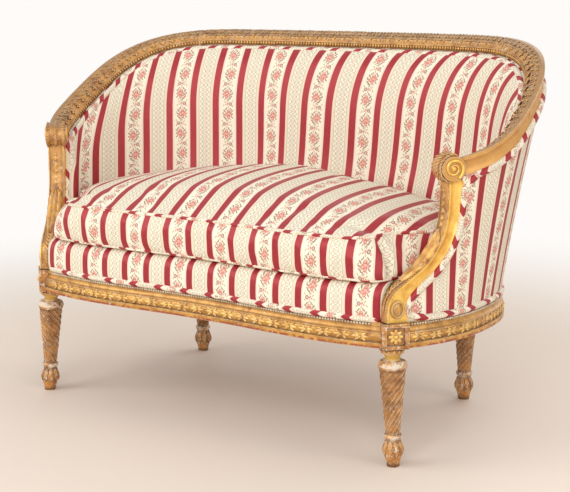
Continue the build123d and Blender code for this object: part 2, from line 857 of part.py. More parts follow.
def build():
    nodes = {}

    # Legs and seat rails
    block = leg_block()
    spigots = both_sides([leg_spigot()])
    joint_degree = back_joint_degree()
    joint = seat_station(joint_degree)
    front_xs = spaced(-half_leg, half_leg, half_leg / 8)
    front_rail = seat_rail([front_station(x) for x in front_xs])
    side_rail = seat_rail([seat_station(d) for d in spaced(side_rail_angle, joint_degree, station_step)])
    half_back = [seat_station(d) for d in spaced(joint_degree, 90.0, station_step)]
    back_rail = seat_rail(half_back + [s.mirrored() for s in reversed(half_back[:-1])])

    # Dowels of the seat frame
    rail_mid_z = rail_bottom_z + rail_height / 2
    front_dowels = dowel_pair(
        Vector(half_leg - 40, front_outline_y(half_leg - 40, rail_width / 2), rail_mid_z), Vector(1, 0, 0),
        dowel_spread)
    side_start = seat_station(-26.0)
    side_dowels = dowel_pair(side_start.point(-rail_width / 2, rail_mid_z),
                             Vector(-side_start.ny, side_start.nx, 0), dowel_spread)
    joint_dowels = dowel_pair(joint.point(-rail_width / 2, rail_mid_z), Vector(-joint.ny, joint.nx, 0),
                              dowel_spread)
    seat_dowels = both_sides(front_dowels + side_dowels + joint_dowels)

    # Corner blocks and screws
    front_block = front_corner_block()
    back_block = back_corner_block(joint_degree)
    front_screw_x = half_leg - 96
    inner = front_outline_y(front_screw_x, rail_width)
    screws = [screw(Vector(front_screw_x, inner - screw_grip, rail_mid_z),
                    Vector(front_screw_x, inner + corner_block_depth * 0.5, rail_mid_z))]
    side_place = seat_station(-16.0)
    screws.append(screw(side_place.point(screw_grip - rail_width, rail_mid_z),
                        side_place.point(-rail_width - corner_block_depth * 0.4, rail_mid_z)))
    for shift_along in (-back_block_length / 3, back_block_length / 3):
        along = Vector(-joint.ny, joint.nx, 0) * shift_along
        head = -rail_width - back_block_depth
        screws.append(screw(joint.point(screw_grip - rail_width, rail_mid_z) + along,
                            joint.point(head, rail_mid_z) + along))
    screws = both_sides(screws)

    front_block = largest(front_block - front_rail - side_rail - block)
    brace = largest(cross_brace() - front_rail - back_rail)

    # Upper frame
    support = arm_support()
    scroll_end = scroll()
    arm_degrees = spaced(scroll_angle, crest_joint_angle, station_step)
    arm = largest(top_rail(arm_degrees) + scroll_end)
    support = largest(support - arm)
    crest = top_rail(back_degrees)
    stile = back_stile()
    stiles = [stile, twin(stile)]
    crest = largest(crest - stiles[0] - stiles[1])

    crest_end = arm_station(crest_joint_angle)
    along = Vector(-crest_end.ny, crest_end.nx, 0)
    crest_dowels = dowel_pair(crest_end.point(0, crest_end.z), along, dowel_spread * 0.6)
    base = Vector(half_leg, 0, block_top_z)
    arm_dowels = [pin(base - Vector(0, 0, dowel_reach), base + Vector(0, 0, dowel_reach), dowel_diameter)]
    top = support_point(*support_sweep[-1]) + Vector(0, 0, 12)
    arm_dowels.append(
        pin(top - Vector(0, 0, dowel_reach), top + Vector(0, 0, dowel_reach * 0.7), dowel_diameter))
    frame_dowels = both_sides(crest_dowels + arm_dowels)

    front_rail = bored(front_rail - block - twin(block), both_sides(front_dowels) + screws)
    side_rail = bored(side_rail - block, side_dowels + joint_dowels + screws)
    back_rail = bored(back_rail, spigots + both_sides(joint_dowels) + screws)
    right_leg = front_leg(bored(block, front_dowels + side_dowels + [arm_dowels[0]]))
    front_block = bored(front_block, screws)
    back_block = bored(back_block, screws)
    bored_support = bored(support, arm_dowels)
    arm = bored(arm, crest_dowels + arm_dowels)
    crest = bored(crest, both_sides(crest_dowels))

    nodes["front_seat_rail"] = front_rail
    nodes["back_seat_rail"] = back_rail
    nodes["crest_rail"] = crest
    nodes["seat_cross_brace"] = brace
    paired = {
        "front_leg": right_leg,
        "back_leg": back_leg(),
        "side_seat_rail": side_rail,
        "front_rosette": rosette(),
        "arm_support": bored_support,
        "arm_rail": arm,
        "back_stile": stile,
        "front_corner_block": front_block,
        "back_corner_block": back_block,
    }

    # Upholstery on the frame
    cutter = front_of_support()
    side_stations = [arm_station(d) for d in side_degrees]
    back_stations = [arm_station(d) for d in back_degrees]
    side_cover = slab(side_stations, cover_section) - cutter - support - scroll_end
    side_pad = slab(side_stations, pad_section) - cutter - support - scroll_end
    arm_tacking = slab(side_stations + back_stations[1:2], tacking_section) - cutter - support - stile
    arm_tacking -= side_cover
    back_tacking = slab(back_stations, tacking_section) - stiles[0] - stiles[1]
    paired["outside_cover"] = largest(side_cover)
    paired["inside_arm_pad"] = largest(side_pad)
    paired["arm_tacking_rail"] = largest(arm_tacking)
    nodes["outside_back_cover"] = slab(back_stations, cover_section)
    nodes["inside_back_pad"] = slab(back_stations, pad_section)
    nodes["back_tacking_rail"] = largest(back_tacking)
    nodes["seat_deck"] = largest(seat_deck() - support - twin(support))
    nodes["seat_cushion"] = seat_cushion()
    nodes["seat_hessian"] = largest(hessian() - stiles[0] - stiles[1] - support - twin(support))
    for name, piece in paired.items():
        nodes["right_" + name] = piece
        nodes["left_" + name] = twin(piece)

    # Groups of like pieces
    nodes["seat_frame_dowels"] = Compound(children=seat_dowels)
    nodes["upper_frame_dowels"] = Compound(children=frame_dowels)
    nodes["corner_block_screws"] = Compound(children=screws)
    nodes["lengthwise_webbing"] = Compound(
        children=[largest(s - stiles[0] - stiles[1]) for s in long_straps()])
    nodes["back_webbing"] = Compound(children=[back_strap(d) for d in back_strap_angles])
    nodes["crosswise_webbing"] = Compound(
        children=[largest(s - stiles[0] - stiles[1]) for s in cross_straps()])
    return nodes


os.makedirs("parts", exist_ok=True)
for name, piece in build().items():
    export_step(Pos(0, -middle_y, 0) * piece, f"parts/{name}.step")
    print(name, round(piece.volume / 1000), "cm3", piece.is_valid)
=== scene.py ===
import bpy
import bmesh
import math
from mathutils import Vector, Matrix, noise
from mathutils.bvhtree import BVHTree
from mathutils.geometry import tessellate_polygon

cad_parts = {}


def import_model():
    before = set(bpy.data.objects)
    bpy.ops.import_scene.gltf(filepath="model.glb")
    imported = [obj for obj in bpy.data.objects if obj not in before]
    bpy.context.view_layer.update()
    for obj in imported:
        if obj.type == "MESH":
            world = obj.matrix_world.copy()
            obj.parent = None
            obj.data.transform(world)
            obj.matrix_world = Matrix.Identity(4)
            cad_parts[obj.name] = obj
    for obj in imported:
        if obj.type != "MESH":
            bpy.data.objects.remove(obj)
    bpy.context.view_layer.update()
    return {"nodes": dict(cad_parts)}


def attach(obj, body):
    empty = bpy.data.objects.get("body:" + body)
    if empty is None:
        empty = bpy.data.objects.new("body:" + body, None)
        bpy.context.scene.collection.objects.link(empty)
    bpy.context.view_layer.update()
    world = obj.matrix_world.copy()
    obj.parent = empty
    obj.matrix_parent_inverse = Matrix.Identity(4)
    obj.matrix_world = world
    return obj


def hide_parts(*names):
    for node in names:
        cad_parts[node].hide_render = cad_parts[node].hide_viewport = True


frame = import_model()
nodes = frame["nodes"]
scene = bpy.context.scene
scene.view_settings.view_transform = "Standard"
print("frame loaded,", len(nodes), "nodes")

# node trees: outputs are held as wires, which add and multiply like numbers


class Wire:
    def __init__(self, tree, socket):
        self.tree = tree
        self.socket = socket

    def __add__(self, other):
        return calc("ADD", self, other)

    def __sub__(self, other):
        return calc("SUBTRACT", self, other)

    def __mul__(self, other):
        return calc("MULTIPLY", self, other)

    def __truediv__(self, other):
        return calc("DIVIDE", self, other)

    def __mod__(self, other):
        return calc("FLOORED_MODULO", self, other)

    def __abs__(self):
        return calc("ABSOLUTE", self)


def feed(node, values):  # a wire is linked, a plain value is set
    for key, value in dict(values).items():
        if isinstance(value, Wire):
            value.tree.links.new(value.socket, node.inputs[key])
        else:
            node.inputs[key].default_value = value


def addNode(tree, kind, values=(), give=0, **settings):  # returns one of the new node's outputs
    node = tree.nodes.new(kind)
    for key, value in settings.items():
        setattr(node, key, value)
    feed(node, values)
    return Wire(tree, node.outputs[give])


def calc(how, *values, clamp=False):
    tree = next(v.tree for v in values if isinstance(v, Wire))
    return addNode(tree, "ShaderNodeMath", enumerate(values), operation=how, use_clamp=clamp)


def anyOf(shares):
    total = shares[0]
    for share in shares[1:]:
        total = calc("MAXIMUM", total, share)
    return total


def fade(value, low, high, start=0.0, end=1.0):  # smooth step between two values
    return addNode(value.tree, "ShaderNodeMapRange", {"Value": value, "From Min": low, "From Max": high,
                   "To Min": start, "To Max": end}, interpolation_type="SMOOTHSTEP")


def between(value, low, high, soft):
    return fade(value, low - soft, low + soft) * fade(value, high - soft, high + soft, 1.0, 0.0)


def split(vector):  # x, y and z
    x = addNode(vector.tree, "ShaderNodeSeparateXYZ", {0: vector})
    return [Wire(x.tree, output) for output in x.socket.node.outputs]


def tint(tone):  # screen colour 0-255 to a linear socket colour
    def one(c):
        c /= 255.0
        return c / 12.92 if c <= 0.04045 else ((c + 0.055) / 1.055) ** 2.4
    return tuple(one(c) for c in tone) + (1.0,)


def blend(share, a, b):  # colours are wires or 0-255 tones
    a, b = (c if isinstance(c, Wire) else tint(c) for c in (a, b))
    return addNode(share.tree, "ShaderNodeMix", {0: share, 6: a, 7: b}, 2, data_type="RGBA")


def grain(where, scale, detail, rough, stretch=None):
    if stretch:
        where = addNode(where.tree, "ShaderNodeMapping", {"Vector": where, "Scale": stretch})
    return addNode(where.tree, "ShaderNodeTexNoise",
                   {"Vector": where, "Scale": scale, "Detail": detail, "Roughness": rough}, "Fac")


def bumpOf(height, strength, distance):
    return addNode(height.tree, "ShaderNodeBump",
                   {"Height": height, "Strength": strength, "Distance": distance})


def newFinish(name):  # finish, its tree, its shader and the place on the object
    finish = bpy.data.materials.new(name)
    finish.use_nodes = True
    tree = finish.node_tree
    shader = next(n for n in tree.nodes if n.type == "BSDF_PRINCIPLED")
    return finish, tree, shader, addNode(tree, "ShaderNodeTexCoord", give="Object")


def newTree(name, kind, takes, gives):  # node group, its inputs as wires, and its output node
    tree = bpy.data.node_groups.new(name, kind)
    for label, form in takes:
        tree.interface.new_socket(name=label, in_out="INPUT", socket_type="NodeSocket" + form)
    tree.interface.new_socket(name=gives[0], in_out="OUTPUT", socket_type="NodeSocket" + gives[1])
    start = tree.nodes.new("NodeGroupInput").outputs
    return tree, {label: Wire(tree, start[label]) for label, _ in takes}, tree.nodes.new("NodeGroupOutput")


# camera, floor and light

studio = {
    "cameraAt": (1.9737, -2.9041, 1.0749),
    "cameraTilt": 79.05,
    "cameraTurn": 34.10,
    "lens": 86.03,
    "sensor": 36.0,
    "floorTone": (236, 222, 208),
    "floorRough": 0.62,
    "floorHalf": 9,
    "floorFade": (0.9, 2.6),
    "farTone": (254, 251, 248),
    "lampAim": (0, 0, 0.45),
    "lamps": (  # place, width, power
        ((-2.1, -2.9, 2.4), 2.6, 60.0),
        ((1.5, -3.3, 1.9), 2.4, 56.0),
        ((3.0, -0.6, 1.9), 2.0, 20.0),
        ((0.6, 2.9, 2.4), 2.4, 30.0),
        ((0.0, 0.0, 3.4), 2.2, 6.0),
    ),
    "skyStrength": 0.50,
}


def addObject(name, data):
    thing = bpy.data.objects.new(name, data)
    scene.collection.objects.link(thing)
    return thing


def setCamera():
    data = bpy.data.cameras.new("camera")
    data.sensor_fit = "HORIZONTAL"
    data.sensor_width = studio["sensor"]
    data.lens = studio["lens"]
    camera = addObject("camera", data)
    camera.location = studio["cameraAt"]
    camera.rotation_euler = (math.radians(studio["cameraTilt"]), 0, math.radians(studio["cameraTurn"]))
    scene.camera = camera


def setLamps():
    for i, (place, width, power) in enumerate(studio["lamps"]):
        data = bpy.data.lights.new(f"lamp{i}", "AREA")
        data.size = width
        data.energy = power
        lamp = addObject(f"lamp{i}", data)
        lamp.location = place
        lamp.rotation_euler = (Vector(studio["lampAim"]) - Vector(place)).to_track_quat("-Z", "Y").to_euler()


def seenRays(tree):  # 1 for what is seen, straight or in a reflection
    rays = tree.nodes.new("ShaderNodeLightPath").outputs
    return anyOf([Wire(tree, rays[f"Is {kind} Ray"]) for kind in ("Camera", "Glossy", "Transmission")])


def setSky():
    world = bpy.data.worlds.new("studioSky")
    world.use_nodes = True
    scene.world = world
    sky = next(n for n in world.node_tree.nodes if n.type == "BACKGROUND")
    strength = fade(seenRays(world.node_tree), 0.0, 1.0, studio["skyStrength"], 1.0)
    feed(sky, {"Color": tint(studio["farTone"]), "Strength": strength})


def setFloor():
    finish, tree, shader, place = newFinish("paleFloor")
    feed(shader, {"Base Color": tint(studio["floorTone"]), "Roughness": studio["floorRough"]})
    lit = Wire(tree, shader.outputs[0])
    glow = addNode(tree, "ShaderNodeEmission", {"Color": tint(studio["farTone"])})
    plain = addNode(tree, "ShaderNodeMixShader", {0: seenRays(tree), 1: lit, 2: glow})
    far = addNode(tree, "ShaderNodeVectorMath", {0: place}, "Value", operation="LENGTH")
    mix = addNode(tree, "ShaderNodeMixShader", {0: fade(far, *studio["floorFade"]), 1: lit, 2: plain})
    feed(next(n for n in tree.nodes if n.type == "OUTPUT_MATERIAL"), {"Surface": mix})
    mesh = bpy.data.meshes.new("floor")
    half = studio["floorHalf"]
    corners = [(x * half, y * half, 0) for x, y in ((-1, -1), (1, -1), (1, 1), (-1, 1))]
    mesh.from_pydata(corners, [], [(0, 1, 2, 3)])
    mesh.materials.append(finish)
    floor = addObject("floor", mesh)


setCamera()
setLamps()
setSky()
setFloor()
print("camera, light and floor set")

# plan of the settee, in metres; y is measured back from the front leg line, then moved to the middle

plan = {
    "legLine": 0.329,
    "halfLeg": 0.520,
    "backLeg": (0.431, 0.542),
    "seat": (0.627, 0.230, 0.632, 2.7, 0.48988),  # half width, widest y, back y, fullness, front reach
    "arm": (0.665, 0.295, 0.690, 2.6, 0.39922),
    "armZ": 0.668,
    "crestRise": 0.251,
    "riseFrom": 0.075,
    "riseTo": 0.650,
    "railBottom": 0.276,
    "railTop": 0.334,
    "topRailHalf": 0.021,
    "scrollAt": -26.8,  # degrees on the arm's oval
    "crestJoint": 49.0,
    "deckTop": 0.420,
    "padBottom": 0.341,
    "padFace": (0.076, -0.021, 0.012),  # thickness at the foot, place at the top, swell
    "padRear": (0.036, -0.004, 0.0),
    "bow": (0.596, 0.043, 0.012, 0.025),  # lobe's share of the width, middle reach, more at the lobe, turn in
}
supportSweep = (  # share back to the scroll, share up to the scroll, depth, thickness
    (0.0, 0.0, 0.052, 0.044), (0.03, 0.132, 0.048, 0.043), (0.293, 0.228, 0.042, 0.041),
    (0.624, 0.335, 0.038, 0.040), (0.881, 0.479, 0.036, 0.040), (1.013, 0.635, 0.035, 0.040),
    (1.05, 0.796, 0.036, 0.042), (1.05, 0.952, 0.036, 0.042),
)
upright = Vector((0, 0, 1))


def smooth(t):
    t = min(max(t, 0.0), 1.0)
    return t * t * (3 - 2 * t)


def lerp(a, b, t):
    return a + (b - a) * t


def steps(a, b, count):  # even values from a to b
    return [lerp(a, b, k / count) for k in range(count + 1)]


def flip(v):  # to the other hand
    return Vector((-v.x, v.y, v.z))


def halve(low, high, isLow, times):  # closes in on where isLow stops being true
    for _ in range(times):
        mid = (low + high) / 2
        if isLow(mid):
            low = mid
        else:
            high = mid
    return (low + high) / 2


def lengths(points):  # running length along a line
    total = [0.0]
    for p, q in zip(points, points[1:]):
        total.append(total[-1] + (q - p).length)
    return total


def ovalAt(oval, angle):  # point and outward direction on a plan curve
    halfWidth, widest, back, fullness, frontReach = oval
    c, s = math.cos(angle), math.sin(angle)
    power = fullness if s >= 0 else 2.0
    reach = back - widest if s >= 0 else frontReach
    x = halfWidth * math.copysign(abs(c) ** (2 / power), c)
    y = widest + reach * math.copysign(abs(s) ** (2 / power), s)
    lean = 2 - 2 / power
    n = Vector((math.copysign(abs(c) ** lean, c) / halfWidth, math.copysign(abs(s) ** lean, s) / reach, 0))
    return Vector((x, y - plan["legLine"], 0)), n.normalized()


class Station:  # upright plane square to a plan curve, at a degree from the right hand to the left
    def __init__(self, oval, degree):
        self.place, self.out = ovalAt(oval, math.radians(180 - degree if degree > 90 else degree))
        if degree > 90:
            self.place, self.out = flip(self.place), flip(self.out)

    def point(self, out, z):
        p = self.place + self.out * out
        return Vector((p.x, p.y, z))


def seatDistance(degree):  # from the arm's oval to the seat's, measured along the station
    angle, spread = math.radians(degree), 0.55
    place, out = ovalAt(plan["arm"], angle)

    def off(a):
        p = ovalAt(plan["seat"], a)[0]
        return (p.x - place.x) * out.y - (p.y - place.y) * out.x
    first = off(angle - spread)
    found = halve(angle - spread, angle + spread, lambda a: first * off(a) > 0, 40)
    return (ovalAt(plan["seat"], found)[0] - place).dot(out)


seatGaps = {180: plan["seat"][2] - plan["arm"][2]}


def seatGap(degree):  # seat distance from a table at half degrees
    i = min(math.floor(degree * 2), 180)
    for k in (i, min(i + 1, 180)):
        if k not in seatGaps:
            seatGaps[k] = seatDistance(k / 2)
    return lerp(seatGaps[i], seatGaps[i + 1], degree * 2 - i) if i < 180 else seatGaps[i]


def armStation(degree):
    s = Station(plan["arm"], degree)
    degree = min(degree, 180 - degree)
    climb = plan["riseTo"] - plan["riseFrom"]
    t = min(max((s.place.y + plan["legLine"] - plan["riseFrom"]) / climb, 0.0), 1.0)
    slope = plan["crestRise"] * 6 * t * (1 - t) / climb * s.out.x
    s.z = plan["armZ"] + plan["crestRise"] * smooth(t)
    s.stretch = math.sqrt(1 + slope * slope)
    s.seat = seatGap(degree)
    s.under = s.z - plan["topRailHalf"] * s.stretch - 0.0002
    s.fullness = 0.55 + 0.45 * smooth((degree - plan["scrollAt"]) / (plan["crestJoint"] - plan["scrollAt"]))
    return s


def seatStation(degree):
    return Station(plan["seat"], degree)


def padAt(s, z, shape):  # face of the stuffed back and arms
    thick, top, swell = shape
    t = (z - plan["padBottom"]) / (s.under - plan["padBottom"])
    foot = s.seat - 0.012 - thick * s.fullness
    return foot + (top - foot) * t - swell * 4 * t * (1 - t)


def padRear(s, z):
    return padAt(s, z, plan["padRear"])


def frontLine(x):  # bowed front edge of the seat
    share, middle, more, turnIn = plan["bow"]
    lobe = share * plan["halfLeg"]
    if abs(x) <= lobe:
        y = -(middle + more * math.sin(math.pi * abs(x) / (2 * lobe)) ** 2)
    else:
        y = turnIn * ((abs(x) - lobe) / (plan["halfLeg"] - lobe)) ** 2 - (middle + more)
    return y - plan["legLine"]


scrollStation = armStation(plan["scrollAt"])
blockPlace = Vector((plan["halfLeg"], -plan["legLine"], 0))
supportRun = scrollStation.place - blockPlace
supportAlong = supportRun.normalized()
supportAcross = Vector((supportAlong.y, -supportAlong.x, 0))
supportTall = plan["armZ"] - plan["railTop"]
lastStep = float(len(supportSweep) - 1)


def curveThrough(values, t):  # smooth curve through listed values, t counts steps
    i = min(max(int(math.floor(t)), 0), len(values) - 2)
    f = t - i
    p1, p2 = values[i], values[i + 1]
    p0 = values[i - 1] if i > 0 else p1
    p3 = values[i + 2] if i + 2 < len(values) else p2
    m1 = (p2 - p0) * (0.5 if i > 0 else 1.0)
    m2 = (p3 - p1) * (0.5 if i + 2 < len(values) else 1.0)
    f2, f3 = f * f, f * f * f
    return p1 * (2 * f3 - 3 * f2 + 1) + m1 * (f3 - 2 * f2 + f) + p2 * (3 * f2 - 2 * f3) + m2 * (f3 - f2)


def supportStep(t):  # back, height, depth and thickness along the sweep
    back, up, depth, thick = (curveThrough(values, t) for values in zip(*supportSweep))
    return back * supportRun.length, plan["railTop"] + up * supportTall, depth, thick


def stepAtHeight(z):
    z = min(max(z, supportStep(0.0)[1]), supportStep(lastStep)[1])
    return halve(0.0, lastStep, lambda t: supportStep(t)[1] < z, 30)


def edgeAtSupport(z, side, depthShare, acrossShare):  # point on the inner or outer edge of a support
    back, _, depth, thick = supportStep(stepAtHeight(z))
    p = blockPlace + supportAlong * (back + depth * depthShare) + supportAcross * (thick * acrossShare)
    return Vector((p.x * side, p.y, z))


# meshes


def makePiece(name, verts, faces, stripes=None, weld=0.0):  # stripes: a coordinate pair for each face corner
    mesh = bpy.data.meshes.new(name)
    mesh.from_pydata([tuple(v) for v in verts], [], faces)
    mesh.update()
    if stripes:
        layer = mesh.uv_layers.new(name="cloth")
        layer.data.foreach_set("uv", [c for pairs in stripes for pair in pairs for c in pair])
    work = bmesh.new()
    work.from_mesh(mesh)
    if weld:
        bmesh.ops.remove_doubles(work, verts=work.verts, dist=weld)
    bmesh.ops.recalc_face_normals(work, faces=work.faces)
    work.to_mesh(mesh)
    work.free()
    mesh.polygons.foreach_set("use_smooth", [True] * len(mesh.polygons))
    mesh.update()
    return addObject(name, mesh)


def dress(piece, finish, body="frame"):
    piece.data.materials.clear()
    piece.data.materials.append(finish)
    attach(piece, body)
    return piece


def gridFaces(rows, cols, ringed=False, looped=False):  # ringed closes each row, looped the grid
    faces = []
    for j in range(rows if looped else rows - 1):
        low, high = j * cols, (j + 1) % rows * cols
        for i in range(cols if ringed else cols - 1):
            k = (i + 1) % cols
            faces.append((low + i, low + k, high + k, high + i))
    return faces


def rimOf(rows, cols):  # points round the edge of a grid
    rim = list(range(cols)) + [j * cols + cols - 1 for j in range(1, rows)]
    rim += [(rows - 1) * cols + i for i in range(cols - 2, -1, -1)]
    return rim + [j * cols for j in range(rows - 2, 0, -1)]


def walls(rim, lows):  # faces from an edge to the edge behind it
    return [(a, b, d, c) for a, b, c, d in zip(rim, rim[1:] + rim[:1], lows, lows[1:] + lows[:1])]


def closedGrids(rows, cols):  # faces of two grids, one behind the other, joined round the edge
    half = rows * cols
    front = gridFaces(rows, cols)
    rear = [tuple(half + k for k in face) for face in front]
    rim = rimOf(rows, cols)
    return front + rear + walls(rim, [half + k for k in rim])


# striped cloth: red satin stripes, a flower band and a trellis band

clothLook = {  # lengths in mm
    "repeat": 136.0,
    "redWide": 18.5,
    "flowerWide": 51.0,
    "flowerStep": 57.0,
    "trellisStep": 27.0,
    "red": (176, 44, 58),
    "redDeep": (136, 24, 40),
    "satinSheen": (255, 148, 148),
    "cream": (247, 238, 218),
    "ivory": (245, 237, 218),
    "margin": (244, 214, 196),
    "blossom": (216, 136, 120),
    "blossomPale": (242, 192, 174),
    "maroon": (136, 48, 56),
    "leaf": (136, 124, 84),
    "leafPale": (190, 178, 130),
    "trellis": (168, 156, 124),
    "shadow": (150, 130, 105),
    "spots": {  # place, half width, half height, turn
        "blossom": ((-3, 7, 6.0, 6.4, 15), (-9, 0, 5.0, 6.4, -25), (3, -2, 5.6, 6.4, 30), (-3, -8, 5.2, 6.2),
                    (-4, 0, 5, 5)),
        "heart": ((-3.5, 2, 3.2, 3.6), (-8.5, -2, 2.2, 3.0), (2.5, -3, 2.2, 2.8), (-3, 9.5, 2.4, 2.0),
                  (-3, -9, 2.0, 2.2)),
        "fold": ((-3.2, 5, 4.0, 0.9, 12), (0, -5.6, 3.8, 0.9, -35), (-6.8, -4.2, 0.9, 3.8, 20),
                 (-6.6, 5, 0.8, 3.2, -30), (1.8, 3, 0.8, 3.2, 35), (-3, -12, 3.4, 0.8)),
        "leaf": ((8.5, 8, 2.2, 5.6, -38), (10.5, -1, 2.1, 5.4, -62), (7.5, -11, 2.2, 5.8, -28),
                 (-13.5, 8, 1.8, 5.0, 48), (-13, -9, 1.8, 5.0, -40), (2.5, 16, 1.7, 4.4, 20),
                 (-9, 15, 1.6, 4.4, -35), (1, -17, 1.6, 4.2, -30)),
        "fleck": ((-15, 0, 1.2, 2.4, 20), (-11.5, 12, 1.2, 2.6, -40), (6, 13, 1.2, 2.6, 25),
                  (4, -14, 1.2, 2.6, 60), (-8, -15, 1.2, 2.6, -20), (13, 4, 1.2, 2.4, 50),
                  (12, -7, 1.2, 2.2, -10)),
    },
    "betweenSpots": {
        "sprig": ((-7, 5, 1.5, 4.6, 42), (-11, -4, 1.5, 4.4, -36), (2, -7, 1.3, 4.0, 20),
                  (15, 8, 1.4, 4.0, -30), (3, 8, 1.3, 3.6, -20)),
        "bud": ((1, 1, 2.6, 3.2, 30), (14.5, -6, 2.0, 2.4), (-4, -2, 2.0, 2.6, -30)),
        "ring": ((9, 0, 5.0, 5.2),),
        "ringHole": ((9, 0, 2.6, 2.8),),
        "ringHeart": ((9, 0, 1.4, 1.4),),
    },
    "trellisPaint": (("mesh", "trellis", 0.7), ("dots", "blossomPale", 0.7), ("lines", "leafPale", 0.95)),
    "flowerPaint": (  # part, tone and strength, from the ground up
        ("stem", "leafPale", 0.75), ("sprig", "leafPale", 0.95), ("leaf", "leaf", 0.85),
        ("bud", "blossom", 0.9), ("blossom", "blossom", 0.9), ("heart", "blossomPale", 0.85),
        ("fold", "maroon", 0.5), ("fleck", "maroon", 0.85), ("ring", "maroon", 0.9),
        ("ringHeart", "maroon", 0.8)),
}


def spotGroup():  # soft turned ellipse, used for every petal and leaf
    takes = [(label, "Float") for label in ("X", "Y", "AtX", "AtY", "Wide", "Tall", "Turn")]
    group, at, end = newTree("petalSpot", "ShaderNodeTree", takes, ("Share", "Float"))
    dx, dy = at["X"] - at["AtX"], at["Y"] - at["AtY"]
    c, s = calc("COSINE", at["Turn"]), calc("SINE", at["Turn"])
    far = [calc("POWER", abs(off / size), 2.0)
           for off, size in ((dx * c + dy * s, at["Wide"]), (dy * c - dx * s, at["Tall"]))]
    feed(end, {0: fade(far[0] + far[1], 0.62, 1.2, 1.0, 0.0)})
    return group


petalSpot = spotGroup()


def spot(x, y, atX, atY, wide, tall, turn=0.0):
    values = {"X": x, "Y": y, "AtX": atX, "AtY": atY, "Wide": wide, "Tall": tall, "Turn": math.radians(turn)}
    node = x.tree.nodes.new("ShaderNodeGroup")
    node.node_tree = petalSpot
    feed(node, values)
    return Wire(x.tree, node.outputs[0])


def stripedCloth(name):
    look = clothLook
    finish, tree, shader, _ = newFinish(name)
    place = addNode(tree, "ShaderNodeUVMap", uv_map="cloth")
    u, v = (part * 1000.0 for part in split(place)[:2])  # mm across and along the stripes
    repeat, step = look["repeat"], look["flowerStep"]
    flower = (u + repeat / 2) % repeat - repeat / 2
    lattice = u % repeat - repeat / 2
    flowerFar, latticeFar = abs(flower), abs(lattice)
    redIn = look["flowerWide"] / 2
    redOut = redIn + look["redWide"]
    red = between(flowerFar, redIn, redOut, 0.5)
    margin = between(flowerFar, redIn - 4.0, redOut + 4.0, 2.4)
    parts = {}

    # flower band, mirrored at every other step
    for key, up in (("spots", v), ("betweenSpots", v + step / 2)):
        side = calc("FLOOR", up / step) % 2.0 * 2.0 - 1.0
        x, y = flower * side, up % step - step / 2
        for part, spots in look[key].items():
            parts[part] = anyOf([spot(x, y, *one) for one in spots])
    parts["ring"] = calc("SUBTRACT", parts["ring"], parts["ringHole"], clamp=True)
    parts["stem"] = fade(abs(flower - calc("SINE", v * (math.pi / step)) * 6.0), 0.4, 1.1, 1.0, 0.0)

    # trellis band: edge lines, two pairs of crossing waves and dots
    trellis = look["trellisStep"]
    waves = []
    for reach, phase in ((7.0, 0.0), (-7.0, 0.0), (12.0, math.pi / 2), (-12.0, math.pi / 2)):
        swing = calc("SINE", calc("MULTIPLY_ADD", v, math.tau / trellis, phase)) * reach
        waves.append(fade(abs(lattice - swing), 0.8, 1.7, 1.0, 0.0))
    parts["mesh"] = anyOf(waves)
    parts["dots"] = spot(lattice, v % (trellis / 2) - trellis / 4, 0.0, 0.0, 1.8, 2.4)
    parts["lines"] = anyOf([between(latticeFar, 15.0, 16.8, 0.4), between(latticeFar, 18.6, 19.4, 0.3)])

    # colour from the ground up
    inFlower = fade(flowerFar, redIn - 1.0, redIn, 1.0, 0.0)
    ground = blend(fade(latticeFar, 14.0, 16.0, 1.0, 0.0), look["cream"], look["ivory"])
    ground = blend(margin * 0.75, ground, look["margin"])
    for part, tone, strong in look["trellisPaint"]:
        ground = blend(parts[part] * strong, ground, look[tone])
    for part, tone, strong in look["flowerPaint"]:
        ground = blend(parts[part] * inFlower * strong, ground, look[tone])
    streak = grain(place, 1.0, 3.0, 0.6, (1400.0, 60.0, 1.0))
    satin = blend(fade(streak, 0.3, 0.75), look["redDeep"], look["red"])
    satin = blend(between(flowerFar, redIn, redIn + 1.4, 0.4) * 0.5, satin, look["redDeep"])
    weave = grain(place, 1.0, 2.0, 0.5, (900.0, 700.0, 1.0))
    tone = blend(fade(weave, 0.35, 0.7, 1.0, 0.0) * 0.10, blend(red, ground, satin), look["shadow"])
    raised = anyOf([parts["blossom"], parts["leaf"], parts["ring"]]) * 0.6 + weave * 0.5
    feed(shader, {
        "Base Color": tone,
        "Normal": bumpOf(raised, 0.22, 0.0006),
        "Roughness": fade(red, 0.0, 1.0, 0.66, 0.40),
        "Specular IOR Level": fade(red, 0.0, 1.0, 0.3, 1.0),
        "Specular Tint": blend(red, (255, 255, 255), look["satinSheen"]),  # satin shines in its own red
        "Anisotropic": fade(red, 0.0, 1.0, 0.0, 0.9),
        "Tangent": addNode(tree, "ShaderNodeTangent", direction_type="UV_MAP", uv_map="cloth"),
    })
    return finish


cloth = stripedCloth("stripedSilk")
print("striped cloth mixed")
